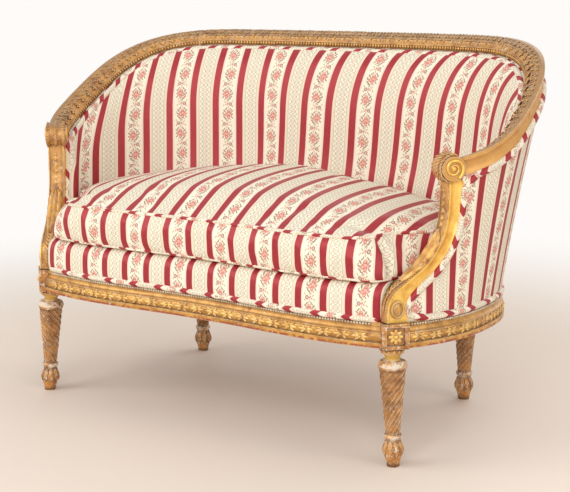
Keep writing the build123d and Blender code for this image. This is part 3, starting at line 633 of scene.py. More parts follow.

# giltwood: burnished gold, dulled gold, dust and painted shade in hollows, gesso showing on edges

giltLook = {  # gold, shade, wear, dust and painted shade in hollows, metal, dust on faces that look up, and what is special
    "bright": ((248, 202, 104), (226, 168, 76), 0.20, 0.6, 0.55, 0.3, {"mottle": 0.25}),
    "rail": ((206, 152, 88), (164, 114, 62), 0.8, 0.9, 0.35, 0.8, {"cove": (214, 160, 86)}),
    "carved": ((218, 165, 88), (180, 128, 64), 0.65, 0.8, 0.40, 0.6, {"rusty": ((0.274, 0.2815),)}),
    "highlight": ((240, 196, 112), (206, 152, 78), 0.50, 0.7, 0.45, 0.2, {}),
    "worn": ((228, 214, 188), (186, 158, 118), 1.0, 0.75, 0.12, 0.1, {}),
    "leg": ((210, 150, 82), (150, 98, 52), 1.0, 1.0, 0.35, 0.2, {
        "gesso": ((0.232, 0.247), (0.062, 0.074)), "goldLeaf": ((0.247, 0.263),), "hollow": (0.60, 0.98),
        "ridge": 0.9}),
    "dustAndShade": ((192, 146, 92), (134, 98, 60), 0.9, 1.0, 0.22, 0.5, {}),
}
giltTones = {
    "redClay": (128, 58, 34),
    "rust": (160, 78, 52),
    # dark brown of the dust and painted shade in hollows
    "hollow": (78, 50, 26),
    "settled": (150, 116, 78),
    "gesso": (222, 208, 186),
}


def giltFinish(name, look):
    gold, shade, worn, dustAndShade, metal, top, more = look
    tones = giltTones
    finish, tree, shader, place = newFinish(name)
    patches = grain(place, 38.0, 6.0, 0.62)
    fine = grain(place, 130.0, 5.0, 0.6)
    chips = grain(place, 62.0, 5.0, 0.68)
    clay = grain(place, 34.0, 4.0, 0.6)
    mottle = more.get("mottle", 1.0)
    level = split(place)[2]
    facing = addNode(tree, "ShaderNodeNewGeometry", give="Normal")

    def vector(how, a, b, give="Vector"):
        return addNode(tree, "ShaderNodeVectorMath", {0: a, 1: b}, give, operation=how)
    tone = blend(fade(patches, 0.34, 0.60), shade, gold)
    tone = blend(fade(fine, 0.45, 0.68) * (0.35 * mottle), tone, shade)
    tone = blend(fade(clay, 0.62, 0.70) * (0.55 * mottle), tone, tones["redClay"])
    if "cove" in more:  # faces that look away from the seat
        away = vector("NORMALIZE", vector("MULTIPLY", place, (1.0, 1.0, 0.0)), (0.0, 0.0, 0.0))
        turned = vector("DOT_PRODUCT", away, facing, "Value")
        tone = blend(fade(turned, 0.30, 0.60, 0.0, 0.8), tone, more["cove"])
    for low, high in more.get("goldLeaf", ()):
        tone = blend(between(level, low, high, 0.001), tone, giltLook["bright"][0])
    for low, high in more.get("rusty", ()):
        tone = blend(between(level, low, high, 0.002) * fade(chips, 0.42, 0.54), tone, tones["rust"])
    # painted shade mixed with dust: ambient occlusion darkens hollows, grooves and flutes towards dark brown
    # and dulls the metal there
    clear = addNode(tree, "ShaderNodeAmbientOcclusion", {"Distance": 0.012}, "AO", samples=6)
    hollowShadeAndDust = fade(clear, *more.get("hollow", (0.42, 0.92)), 1.0, 0.0) * (dustAndShade * 0.85)
    tone = blend(hollowShadeAndDust, tone, tones["hollow"])
    tone = blend(fade(split(facing)[2], 0.55, 0.95) * top, tone, tones["settled"])
    rounded = addNode(tree, "ShaderNodeBevel", {"Radius": 0.0026}, samples=4)
    edge = fade(vector("DOT_PRODUCT", rounded, facing, "Value"), 0.90, 0.985, 1.0, 0.0)
    bare = [edge * fade(chips, 0.40, 0.56), fade(chips, 0.635, 0.665)]  # rubbed edges and chips
    for low, high in more.get("gesso", ()):
        bare.append(between(level, low, high, 0.003) * fade(chips, 0.40, 0.55))
    if "ridge" in more:
        bare.append(fade(clear, 0.86, 0.98) * fade(fine, 0.55, 0.61) * more["ridge"])
    bare = calc("MULTIPLY", anyOf(bare), worn, clamp=True)
    clean = calc("SUBTRACT", 1.0, calc("MAXIMUM", bare, hollowShadeAndDust), clamp=True)
    feed(shader, {
        "Base Color": blend(bare, tone, tones["gesso"]),
        "Metallic": clean * metal,
        "Roughness": fade(clean, 0.0, 1.0, 0.72, 0.36),
        "Normal": bumpOf(fine * 0.5 + (patches * 0.7 - bare * 0.6), 0.35 * mottle, 0.0012),
    })
    return finish


gilt = {name: giltFinish(name + "Gilt", look) for name, look in giltLook.items()}
print("gilt finishes mixed")

# finishes of the pieces inside the frame

insideLook = {
    "beech": ((176, 134, 88), (142, 102, 62)),
    "dowel": ((206, 172, 124), (176, 140, 94)),
    "webbing": ((178, 156, 118), (126, 104, 72)),
    "hessian": ((176, 148, 104), (132, 106, 68)),
    "steel": ((150, 146, 140), (112, 106, 98)),
}


def woodFinish(name, tones):
    finish, _, shader, place = newFinish(name)
    lines = grain(place, 9.0, 6.0, 0.6, (1.0, 7.0, 9.0))
    feed(shader, {"Base Color": blend(fade(lines, 0.35, 0.66), tones[1], tones[0]), "Roughness": 0.68,
                  "Normal": bumpOf(lines, 0.25, 0.001)})
    return finish


def wovenFinish(name, tones, pitch):
    finish, _, shader, place = newFinish(name)
    a, b, c = (calc("SINE", part * (math.tau / pitch)) for part in split(place))
    threads = (a + b + c) * 0.33
    share = calc("ADD", fade(threads, -0.5, 0.5), grain(place, 300.0, 3.0, 0.6) * 0.4, clamp=True)
    feed(shader, {"Base Color": blend(share, tones[1], tones[0]), "Roughness": 0.9,
                  "Normal": bumpOf(threads, 0.4, 0.0008)})
    return finish


def steelFinish(name, tones):
    finish, _, shader, place = newFinish(name)
    rub = grain(place, 400.0, 4.0, 0.6)
    feed(shader, {"Base Color": blend(fade(rub, 0.4, 0.65), tones[1], tones[0]), "Metallic": 0.9,
                  "Roughness": fade(rub, 0.3, 0.7, 0.32, 0.5)})
    return finish


beech = woodFinish("beechFrame", insideLook["beech"])
nodeFinish = {
    "seat_rail": gilt["carved"], "crest_rail": gilt["rail"], "arm_rail": gilt["rail"],
    "front_leg": gilt["leg"], "back_leg": gilt["leg"], "rosette": gilt["highlight"],
    "arm_support": gilt["bright"],
    "stile": beech, "tacking": beech, "brace": beech, "corner_block": beech,
    "dowels": woodFinish("beechDowel", insideLook["dowel"]),
    "webbing": wovenFinish("juteWebbing", insideLook["webbing"], 0.004),
    "hessian": wovenFinish("openHessian", insideLook["hessian"], 0.0022),
    "screws": steelFinish("screwSteel", insideLook["steel"]),
}
for name, node in nodes.items():
    for part, finish in nodeFinish.items():
        if part in name and not ("screws" in name and part != "screws"):
            node.data.materials.clear()
            node.data.materials.append(finish)
print("frame pieces finished")

# covers between the supports, round the back


def firstDegree(z, faceAt):  # where a cover meets the middle of the support
    goal = supportStep(stepAtHeight(z))[0]

    def before(degree):
        s = armStation(degree)
        return (s.point(faceAt(s, min(z, s.under)), z) - blockPlace).dot(supportAlong) < goal
    return halve(-44.0, 5.0, before, 26)


def coverGrid(look, faceAt, bottom, depthShare, acrossShare):
    # points and their degrees by row and column, from the right support round the back to the left one
    grid, degrees = [], []
    for b in steps(0.0, 1.0, look["rows"]):
        zFront = lerp(bottom, scrollStation.under, b)
        start = firstDegree(zFront, faceAt)
        degrees.append(steps(start, 180 - start, look["columns"]))
        row = []
        for degree in degrees[-1]:
            s = armStation(degree)
            z = lerp(bottom, s.under, b)
            row.append(s.point(faceAt(s, z), z))
        for side in (1, -1):  # the ends roll back to the support
            row = row[::side]
            first = row[0].copy()
            pull = edgeAtSupport(zFront, side, depthShare, acrossShare) - first
            for i, p in enumerate(row):
                far = math.hypot(p.x - first.x, p.y - first.y)
                if far > look["frontRoll"]:
                    break
                shift = pull * (1 - far / look["frontRoll"]) ** 2.2
                row[i] = Vector((p.x + shift.x, p.y + shift.y, p.z))
            row = row[::side]
        grid.append(row)
    return grid, degrees


def closedCover(name, front, rear, acrossAt):  # acrossAt gives the stripe coordinate of a row and column
    rows, cols = len(front), len(front[0])
    rise = list(zip(*(lengths(column) for column in zip(*front))))
    pairs = [(acrossAt(j, i), rise[j][i]) for j in range(rows) for i in range(cols)] * 2
    faces = closedGrids(rows, cols)
    verts = [p for row in front + rear for p in row]
    piece = makePiece(name, verts, faces, [[pairs[k] for k in face] for face in faces])
    return dress(piece, cloth)


# inside back and arms: one stuffed cover from support to support

insideBack = {
    "columns": 300,
    "rows": 52,
    "edge": (0.30, -0.46),  # shares of the support's depth and thickness
    "rearEdge": (0.34, -0.30),
    "puff": 0.006,
    "roll": 0.027,
    "rollFrom": 0.42,
    "rollTop": 0.88,
    "frontRoll": 0.034,
    "unevenness": 0.0016,
    "bumps": 7.0,
    "spread": 0.842,
    "shift": 0.060,
    "turn": 0.675,
    "turnFrom": (0.05, 0.25),
    "backY": 0.30,
    "bend": 0.030,
    "bendFrom": 0.70,
    "least": 0.76,
}


def stuffedFace(s, z):
    look = insideBack
    t = min((z - plan["padBottom"]) / (s.under - plan["padBottom"]), 1.0)
    over = max(0.0, (t - look["rollTop"]) / (1 - look["rollTop"]))
    full = math.sqrt(1 - over ** 2)  # rounds over to the rail at the top
    rolled = smooth((t - look["rollFrom"]) / (look["rollTop"] - look["rollFrom"]))
    roll = look["roll"] * s.fullness ** 2 * rolled
    uneven = look["unevenness"] * noise.noise(s.point(0, z) * look["bumps"])
    return padAt(s, z, plan["padFace"]) - (look["puff"] + roll + uneven) * full


def insideStripes(front):  # upright planes, turned at the arms and pulled aside over the top roll
    look = insideBack
    turnFrom, turnOver = look["turnFrom"]
    table = []
    for j, row in enumerate(front):
        bent = max(0.0, (j / look["rows"] - look["bendFrom"]) / (1 - look["bendFrom"])) ** 2
        plane = []
        for p in row:
            turn = look["turn"] * smooth((abs(p.x) - turnFrom) / turnOver)
            plane.append(p.x - math.copysign(turn, p.x) * (p.y - look["backY"]))
        middle = len(row) // 2
        even = list(plane)
        for sign, order in ((1, range(middle - 1, -1, -1)), (-1, range(middle + 1, len(row)))):
            for i in order:  # never stretched further than the cloth would give
                least = look["least"] * (row[i].xy - row[i + sign].xy).length
                even[i] = even[i + sign] + sign * max(sign * (plane[i] - plane[i + sign]), least)
        table.append([across * look["spread"] + look["shift"] - look["bend"] * bent for across in even])
    return table


def makeInsideBack():
    look = insideBack
    front, _ = coverGrid(look, stuffedFace, plan["padBottom"], *look["edge"])
    rear, _ = coverGrid(look, padRear, plan["padBottom"], *look["rearEdge"])
    table = insideStripes(front)
    piece = closedCover("insideBack", front, rear, lambda j, i: table[j][i])
    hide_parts("inside_back_pad", "left_inside_arm_pad", "right_inside_arm_pad")


makeInsideBack()
print("inside back stuffed")

# outside back and sides: one cover stretched between the seat rail and the top rail

outsideCover = {
    "columns": 260,
    "rows": 26,
    "edge": (0.42, 0.40),
    "rearEdge": (0.42, 0.3286),
    "thick": 0.003,
    "frontRoll": 0.020,
    "bottom": 0.3342,
    "behindRail": 0.009,
    "topOut": 0.020,
    "hollow": 0.004,
    "spread": 1.08,
}


def outsideFace(s, z):
    look = outsideCover
    t = min(max((z - look["bottom"]) / (s.under - look["bottom"]), 0.0), 1.0)
    return lerp(s.seat - look["behindRail"], look["topOut"], t) - look["hollow"] * math.sin(math.pi * t)


def outsideLining(s, z):
    return outsideFace(s, z) - outsideCover["thick"]


def runByDegree(faceAt, bottom):  # cloth width from the middle of the back, measured at half height
    first, last = -46, 226
    line = []
    for degree in range(first, last + 1):
        s = armStation(degree)
        z = (bottom + s.under) / 2
        line.append(s.point(faceAt(s, z), z))
    total = lengths(line)
    runs = [total[len(line) // 2] - t for t in total]

    def at(degree):
        k = min(max(math.floor(degree) - first, 0), len(runs) - 2)
        return lerp(runs[k], runs[k + 1], degree - first - k)
    return at


def makeOutsideCover():
    look = outsideCover
    bottom = look["bottom"]
    front, degrees = coverGrid(look, outsideFace, bottom, *look["edge"])
    rear, _ = coverGrid(look, outsideLining, bottom, *look["rearEdge"])
    steady = runByDegree(outsideFace, bottom)
    piece = closedCover("outsideCover", front, rear, lambda j, i: steady(degrees[j][i]) * look["spread"])
    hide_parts("outside_back_cover", "left_outside_cover", "right_outside_cover")
    wide = lengths(front[look["rows"] // 2])[-1]


makeOutsideCover()
print("outside cover stretched")

# seat deck: stuffed platform with a rolled front edge

deckLook = {
    "rolls": (  # height above the rail, inset
        (0.0, 0.009), (0.004, 0.0055), (0.010, 0.004), (0.020, 0.0026), (0.030, 0.002), (0.044, 0.0024),
        (0.057, 0.0034), (0.067, 0.0066), (0.075, 0.012), (0.081, 0.021), (0.0845, 0.032), (0.086, 0.046)),
    "cornerX": 0.508,
    "cornerRound": 0.020,
    "besideSupport": (0.483, 0.001),
    "sideFrom": 0.058,
    "sideGap": 0.0012,
    "frontCount": 150,
    "rimShare": 0.005,
    "middleY": -0.03,
}


def innerLine(low, high, gap, count=120):  # plan line just inside the stuffed back and arms
    line = []
    for degree in steps(-34.0, 214.0, count):
        s = armStation(degree)
        reach = min(stuffedFace(s, z) for z in steps(low, high or s.under, 8))
        line.append(s.point(reach - gap, 0))
    return line


def seatCloth(x):  # stripes of deck and cushion line up
    return x * 1.045 + 0.058


def deckOutline(inset):
    look = deckLook
    corner, bend = look["cornerX"], look["cornerRound"]
    front = []
    for x in steps(-corner, corner, look["frontCount"]):
        near = max(0.0, abs(x) - (corner - bend)) / bend
        turned = bend * (1 - math.sqrt(max(0.0, 1 - near * near)))
        front.append(Vector((x, frontLine(x) + inset + turned, 0)))
    line = innerLine(plan["padBottom"], plan["deckTop"], look["sideGap"])
    side = [p for p in line if p.y > -plan["legLine"] + look["sideFrom"]]
    x, y = look["besideSupport"]
    beside = Vector((x, y - plan["legLine"], 0))
    return front + [beside] + side + [flip(beside)]


def makeDeck():
    look = deckLook
    rings = []
    for up, inset in look["rolls"]:
        rings.append([p + upright * (plan["railTop"] + up) for p in deckOutline(inset)])
    top = rings[-1]
    middle = Vector((0, look["middleY"], plan["deckTop"]))
    rings.append([p.lerp(middle, look["rimShare"]) for p in top])
    count, last = len(top), len(rings) - 1
    faces = gridFaces(len(rings), count, ringed=True)
    faces += [tuple(last * count + i for i in corners) for corners in tessellate_polygon([rings[-1]])]
    faces += [tuple(corners)[::-1] for corners in tessellate_polygon([rings[0]])]
    along = lengths(top)
    centre = along[look["frontCount"] // 2]
    pairs = []
    for ring in rings[:-1]:  # round the rolled edge
        pairs += [(seatCloth(t - centre), top[0].y + p.z - plan["deckTop"]) for t, p in zip(along, ring)]
    pairs += [(seatCloth(p.x), p.y) for p in rings[-1]]
    verts = [p for ring in rings for p in ring]
    piece = makePiece("seatDeck", verts, faces, [[pairs[i] for i in face] for face in faces])
    dress(piece, cloth)
    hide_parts("seat_deck")
    return rings[0]


deckLine = makeDeck()
print("seat deck stuffed")

# loose cushion: boxed, down filled, with a high crown

cushionLook = {
    "bottom": 0.4203,
    "boxing": 0.096,
    "crown": 0.066,
    "topSeam": {"corner": (0.464, 0.066, 0.100), "inset": 0.016, "sideGap": 0.020},  # x, round in x and y
    "lowSeam": {"corner": (0.497, 0.042, 0.042), "inset": 0.016, "sideGap": 0.015},
    "sideFrom": 0.15,
    "backFrom": 0.19,
    "across": 110,
    "deep": 60,
    "boxRows": 12,
    "belly": 0.003,  # how far behind the rail's front line
    "sideSwell": 0.002,
    "frontSwell": (-0.16, 0.10),  # y where the front's fuller swell starts, and over which run
    "boxingCloth": -0.37,
    "pleat": (0.032, 0.006, 0.0055),  # depth, half width, how far its lips draw together
    "lips": (0.015, 0.009, 0.03),  # distance from the fold, width, reach
    "foldAfter": 3,
    "pressure": 4.0,
    "slack": -0.03,
    "cap": 0.024,
    "steps": 20,
}


def evenRun(points, count):
    total = lengths(points)
    even = []
    k = 0
    for i in range(count + 1):
        goal = total[-1] * i / count
        while k < len(points) - 2 and total[k + 1] < goal:
            k += 1
        span = total[k + 1] - total[k]
        even.append(points[k].lerp(points[k + 1], (goal - total[k]) / span if span > 0 else 0.0))
    return even


def cushionSides(seam):  # front edge, right side, back edge and left side, each as evenly spaced points
    look = cushionLook
    corner, roundX, roundY = seam["corner"]
    flat = corner - roundX
    edgeY = frontLine(flat) + seam["inset"]
    line = innerLine(plan["deckTop"], None, seam["sideGap"], 240)
    line = [p for p in line if p.y > -plan["legLine"] + look["sideFrom"]]
    arc = [Vector((flat + roundX * math.sin(a), edgeY + roundY - roundY * math.cos(a), 0))
           for a in steps(0.0, math.pi / 2, 12)]
    half = len(arc) // 2
    front = [flip(p) for p in reversed(arc[:half + 1])]
    front += [Vector((x, frontLine(x) + seam["inset"], 0)) for x in steps(-flat, flat, 60)[1:-1]]
    front += arc[:half + 1]
    turn = next(i for i, p in enumerate(line) if p.y > look["backFrom"])
    right = arc[half:] + line[:turn + 1]
    back = line[turn:len(line) - turn]
    left = [flip(p) for p in reversed(right)]
    return [evenRun(side, look[key])
            for side, key in ((front, "across"), (right, "deep"), (back, "across"), (left, "deep"))]


def panelGrid(front, right, back, left):  # grid spanned between four edges
    nA, nB = len(front) - 1, len(right) - 1
    rear, port = back[::-1], left[::-1]
    grid = []
    for j in range(nB + 1):
        v = j / nB
        row = []
        for i in range(nA + 1):
            u = i / nA
            p = front[i] * (1 - v) + rear[i] * v + port[j] * (1 - u) + right[j] * u
            ends = front[0] * (1 - u) * (1 - v) + front[-1] * u * (1 - v)
            row.append(p - (ends + rear[0] * (1 - u) * v + rear[-1] * u * v))
        grid.append(row)
    return grid


def crownShare(i, j):  # 0 at the seam, 1 in the middle
    u, v = 2 * i / cushionLook["across"] - 1, 2 * j / cushionLook["deep"] - 1
    return math.cos(math.pi * u / 2) ** 1.15 * (1 - abs(v) ** 2.2) ** 0.8


def boxingPoints(tops, lows, outward):  # rows between the two seams, fuller at the front
    look = cushionLook
    high, low = look["topSeam"]["inset"], look["lowSeam"]["inset"]
    swellFrom, swellOver = look["frontSwell"]
    seamZ = look["bottom"] + look["boxing"]
    for r in range(1, look["boxRows"]):
        share = r / look["boxRows"]
        off = 2 * share - 1
        belly = lerp(look["belly"], low, off ** 5) if off > 0 else lerp(look["belly"], high, (-off) ** 2.2)
        sideSwell = look["sideSwell"] * math.sin(math.pi * share)
        row = []
        for p, q, out in zip(tops, lows, outward):
            p = p.lerp(q, share)
            nearFront = smooth((swellFrom - p.y) / swellOver)
            swell = lerp(sideSwell, lerp(high, low, share) - belly, nearFront)
            row.append(Vector((p.x, p.y, seamZ - look["boxing"] * share)) + out * swell)
        yield row


def plumpCushion(piece):  # cloth swells between its sewn edges
    look = cushionLook
    rest = [v.co.copy() for v in piece.data.vertices]
    swell = piece.modifiers.new("plump", "CLOTH")
    settings = swell.settings
    settings.vertex_group_mass = "seam"
    settings.use_pressure = True
    settings.uniform_pressure_force = look["pressure"]
    settings.shrink_min = look["slack"]
    settings.quality = 5
    settings.mass = 0.3
    settings.bending_stiffness = 0.6
    settings.effector_weights.gravity = 0.0
    swell.point_cache.frame_start = 1
    swell.point_cache.frame_end = look["steps"]
    for step in range(1, look["steps"] + 1):
        scene.frame_set(step)
    shape = piece.evaluated_get(bpy.context.evaluated_depsgraph_get())
    moved = [v.co.copy() for v in shape.data.vertices]
    piece.modifiers.remove(swell)
    scene.frame_set(1)
    for v, a, b in zip(piece.data.vertices, rest, moved):
        shift = b - a
        if shift.length > look["cap"]:
            shift = shift * (look["cap"] / shift.length)
        v.co = a + shift
    piece.data.update()


def foldCorners(piece, rows, lows, outward):  # the boxing folds in at both front corners
    look = cushionLook
    depth, half, close = look["pleat"]
    lipAt, lipWide, lipReach = look["lips"]
    count = len(lows)
    folds = (look["across"] + look["foldAfter"], count - look["foldAfter"])
    for r in range(1, look["boxRows"]):
        share = r / look["boxRows"]
        full = math.sin(math.pi * share) ** 0.5 * lerp(0.55, 1.0, share)
        for k in range(count):
            near = min(folds, key=lambda corner: (lows[k] - lows[corner]).length)
            far = (lows[k] - lows[near]).length
            fold = depth * math.exp(-(far / half) ** 2) - close * math.exp(-((far - lipAt) / lipWide) ** 2)
            v = piece.data.vertices[rows[r][k]]
            v.co -= outward[k] * (fold * full)
            if 0 < far < lipReach:
                v.co += (lows[near] - lows[k]).normalized() * (close * full * (1 - far / lipReach))
    keen = {frozenset((a[k], b[k])) for a, b in zip(rows, rows[1:]) for k in folds}
    layer = piece.data.attributes.new("crease_edge", "FLOAT", "EDGE")
    for edge in piece.data.edges:
        layer.data[edge.index].value = 1.0 if frozenset(edge.vertices) in keen else 0.0


def makeCushion():
    look = cushionLook
    nA, nB = look["across"], look["deep"]
    topGrid, lowGrid = (panelGrid(*cushionSides(look[key])) for key in ("topSeam", "lowSeam"))
    seamZ = look["bottom"] + look["boxing"]
    verts = []
    for j, row in enumerate(topGrid):
        verts += [Vector((p.x, p.y, seamZ + look["crown"] * crownShare(i, j))) for i, p in enumerate(row)]
    under = len(verts)
    verts += [Vector((p.x, p.y, look["bottom"])) for row in lowGrid for p in row]
    panel = gridFaces(nB + 1, nA + 1)
    faces = panel + [tuple(under + k for k in face) for face in panel]
    stripes = [[(seatCloth(verts[k].x), verts[k].y) for k in face] for face in faces]
    rim = rimOf(nB + 1, nA + 1)
    count = len(rim)
    rows = [rim]
    tops, lows = [verts[k] for k in rim], [verts[under + k] for k in rim]
    across = [lows[(k + 1) % count] - lows[k - 1] for k in range(count)]
    outward = [Vector((step.y, -step.x, 0)).normalized() for step in across]
    for points in boxingPoints(tops, lows, outward):
        rows.append(list(range(len(verts), len(verts) + count)))
        verts += points
    rows.append([under + k for k in rim])
    runs = []
    for row in rows:  # stripes meet those of the top panel along the front
        total = lengths([verts[k].xy for k in row + row[:1]])
        runs.append([t - total[nA // 2] for t in total])
    for r in range(look["boxRows"]):
        high, low = (look["boxingCloth"] - look["boxing"] * k / look["boxRows"] for k in (r, r + 1))
        for k in range(count):
            n = (k + 1) % count
            faces.append((rows[r][k], rows[r + 1][k], rows[r + 1][n], rows[r][n]))
            corners = ((r, k, high), (r + 1, k, low), (r + 1, k + 1, low), (r, k + 1, high))
            stripes.append([(seatCloth(runs[m][i]), up) for m, i, up in corners])
    piece = makePiece("seatCushion", verts, faces, stripes)
    seam = piece.vertex_groups.new(name="seam")
    seam.add(rows[0] + rows[-1] + [under + k for k in range(under)], 1.0, "REPLACE")
    plumpCushion(piece)
    foldCorners(piece, rows, lows, outward)
    seams = [[piece.data.vertices[k].co.copy() for k in row] for row in (rows[0], rows[-1])]
    finer = piece.modifiers.new("finer", "SUBSURF")
    finer.levels = finer.render_levels = 1
    dress(piece, cloth, "loose_cushion")
    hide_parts("seat_cushion")
    return seams


cushionTop, cushionLow = makeCushion()
print("cushion plumped")

# node trees: a row of carved ornaments, and a sewn welt along a line


def stored(tree, name, kind="FLOAT"):
    return addNode(tree, "GeometryNodeInputNamedAttribute", {"Name": name}, "Attribute", data_type=kind)


def store(geometry, name, value, kind="FLOAT", domain="POINT"):
    kept = addNode(geometry.tree, "GeometryNodeStoreNamedAttribute", {"Geometry": geometry, "Name": name},
                   data_type=kind, domain=domain)
    socket = next(i for i in kept.socket.node.inputs if i.name == "Value" and i.enabled)
    geometry.tree.links.new(value.socket, socket)
    return kept


def painted(geometry, finish):
    real = addNode(geometry.tree, "GeometryNodeRealizeInstances", {0: geometry})
    return addNode(geometry.tree, "GeometryNodeSetMaterial", {"Geometry": real, "Material": finish})


def ornamentTree():
    tree, start, end = newTree("ornamentRow", "GeometryNodeTree", (
        ("Places", "Geometry"), ("Ornament", "Object"), ("Size", "Float"), ("Vary", "Float"), ("Seed", "Int"),
        ("Finish", "Material")), ("Row", "Geometry"))
    turn = addNode(tree, "FunctionNodeAxesToRotation", {
        0: stored(tree, "outward", "FLOAT_VECTOR"), 1: stored(tree, "along", "FLOAT_VECTOR")},
        primary_axis="Z", secondary_axis="X")
    shape = addNode(tree, "GeometryNodeObjectInfo",
                    {"As Instance": True, "Object": start["Ornament"]}, "Geometry")
    chance = tree.nodes.new("FunctionNodeRandomValue")
    chance.data_type = "FLOAT"
    low, high = [i for i in chance.inputs if i.type == "VALUE"][:2]
    low.default_value, high.default_value = -1.0, 1.0
    feed(chance, {"Seed": start["Seed"]})
    drawn = Wire(tree, next(o for o in chance.outputs if o.type == "VALUE"))
    size = stored(tree, "size") * start["Size"] * calc("MULTIPLY_ADD", drawn, start["Vary"], 1.0)
    row = addNode(tree, "GeometryNodeInstanceOnPoints", {
        "Points": start["Places"], "Instance": shape, "Rotation": turn, "Scale": size})
    feed(end, {0: painted(row, start["Finish"])})
    return tree


def weltTree():
    tree, start, end = newTree("sewnWelt", "GeometryNodeTree", (
        ("Line", "Geometry"), ("Radius", "Float"), ("Sides", "Int"), ("Lean", "Float"),
        ("Finish", "Material")), ("Welt", "Geometry"))
    line = addNode(tree, "GeometryNodeMeshToCurve", {"Mesh": start["Line"]})
    path = store(line, "run", addNode(tree, "GeometryNodeSplineParameter", give="Length"))
    ring = addNode(tree, "GeometryNodeCurvePrimitiveCircle",
                   {"Resolution": start["Sides"], "Radius": start["Radius"]})
    profile = store(ring, "around", addNode(tree, "GeometryNodeSplineParameter", give="Factor"))
    tube = addNode(tree, "GeometryNodeCurveToMesh",
                   {"Curve": path, "Profile Curve": profile, "Fill Caps": True})
    around = abs(stored(tree, "around") - 0.5) * (start["Radius"] * math.tau)
    run = stored(tree, "run")
    pair = addNode(tree, "ShaderNodeCombineXYZ", {0: run * start["Lean"] + around, 1: run - around})
    cut = store(tube, "cloth", pair, "FLOAT2", "CORNER")
    feed(end, {0: painted(addNode(tree, "GeometryNodeSetShadeSmooth", {0: cut}), start["Finish"])})
    return tree


trees = {"ornament": ornamentTree(), "welt": weltTree()}


def grow(name, base, key, body, values):  # runs a tree and keeps the result as a plain mesh
    seed = addObject(name + ".seed", base)
    step = seed.modifiers.new("grow", "NODES")
    step.node_group = trees[key]
    for item in trees[key].interface.items_tree:
        if item.in_out == "INPUT" and item.name in values:
            step[item.identifier] = values[item.name]
    bpy.context.view_layer.update()
    mesh = bpy.data.meshes.new_from_object(seed.evaluated_get(bpy.context.evaluated_depsgraph_get()))
    mesh.name = name
    bpy.data.objects.remove(seed)
    piece = addObject(name, mesh)
    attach(piece, body)


def scatter(name, shape, places, size, finish, vary, seed):  # places: point, along, outward, size
    points, along, outward, sizes = zip(*places)
    base = bpy.data.meshes.new(name + ".places")
    base.from_pydata([tuple(p) for p in points], [], [])
    for key, values in (("along", along), ("outward", outward)):
        layer = base.attributes.new(key, "FLOAT_VECTOR", "POINT")
        layer.data.foreach_set("vector", [c for v in values for c in v])
    base.attributes.new("size", "FLOAT", "POINT").data.foreach_set("value", sizes)
    grow(name, base, "ornament", "frame",
         {"Ornament": shapes[shape], "Size": size, "Vary": vary, "Seed": seed, "Finish": gilt[finish]})


def sewWelt(name, points, radius, closed, body="frame"):
    base = bpy.data.meshes.new(name + ".line")
    last = len(points) - 1
    links = [(i, i + 1) for i in range(last)] + ([(last, 0)] if closed else [])
    base.from_pydata([tuple(p) for p in points], links, [])
    grow(name, base, "welt", body,
         {"Radius": radius, "Sides": weltLook["sides"], "Lean": weltLook["lean"], "Finish": cloth})


# welts and piping in the cover's own cloth

weltLook = {
    "thick": 0.0080,
    "pipe": 0.0042,
    "lowPipe": 0.0040,
    "sides": 10,
    "lean": 0.88,
    "inside": {"degrees": -19.0, "out": -0.0305, "drop": 0.0086, "edge": (0.44, -0.56), "z": (0.425, 0.632)},
    "outside": {"degrees": -19.5, "out": 0.0205, "drop": 0.0050, "edge": (0.56, 0.42), "z": (0.350, 0.626)},
    "seatDegrees": 202.0,
    "seatOut": -0.0085,
    "aboveRail": 0.0058,
    "deckDraw": (0.985, 0.0012),  # share of the width, how far in front
}


def topLine(look):  # under the top rail, from right to left
    line = []
    for degree in steps(look["degrees"], 180 - look["degrees"], 240):
        s = armStation(degree)
        line.append(s.point(look["out"], s.under - look["drop"]))
    return line


def supportLine(look, side, count):  # up a support's edge
    return [edgeAtSupport(z, side, *look["edge"]) for z in steps(*look["z"], count)]


def insideLine():
    look = weltLook["inside"]
    return supportLine(look, 1, 24) + topLine(look) + supportLine(look, -1, 24)[::-1]


def outsideLoop():
    look = weltLook["outside"]
    z = plan["railTop"] + weltLook["aboveRail"]
    first = weltLook["seatDegrees"]
    rail = [seatStation(degree).point(weltLook["seatOut"], z) for degree in steps(first, 180 - first, 240)]
    line = topLine(look) + supportLine(look, -1, 30)[::-1] + rail + supportLine(look, 1, 30)
    return line + line[:1]


def deckFrontLine():
    share, forward = weltLook["deckDraw"]
    z = plan["railTop"] + weltLook["aboveRail"]
    return [Vector((p.x * share, p.y - forward, z)) for p in deckLine[:deckLook["frontCount"] + 1]]


sewWelt("insideWelt", evenRun(insideLine(), 420), weltLook["thick"], False)
sewWelt("outsideWelt", evenRun(outsideLoop(), 760)[:-1], weltLook["thick"], True)
sewWelt("deckWelt", evenRun(deckFrontLine(), 200), weltLook["thick"], False)
sewWelt("cushionTopPiping", cushionTop, weltLook["pipe"], True, "loose_cushion")
lowSeam = [p + Vector((0, -0.001, 0.0041)) for p in cushionLow]
sewWelt("cushionLowPiping", lowSeam, weltLook["lowPipe"], True, "loose_cushion")
print("welts sewn")

# carved ornaments, each made once at unit size: x along, z outward


def ringAt(centre, a, b, count):  # points round an ellipse with half axes a and b
    return [centre + a * math.cos(t) + b * math.sin(t) for t in (math.tau * k / count for k in range(count))]


def beadMesh(tall=1.0, wide=1.0, around=8, rows=4):
    verts = []
    for a in steps(-math.pi / 2, math.pi / 2, rows):
        c = 0.5 * math.cos(a)
        centre = upright * (0.5 * wide * math.sin(a))
        verts += ringAt(centre, Vector((c, 0, 0)), Vector((0, tall * c, 0)), around)
    return verts, gridFaces(rows + 1, around, ringed=True)


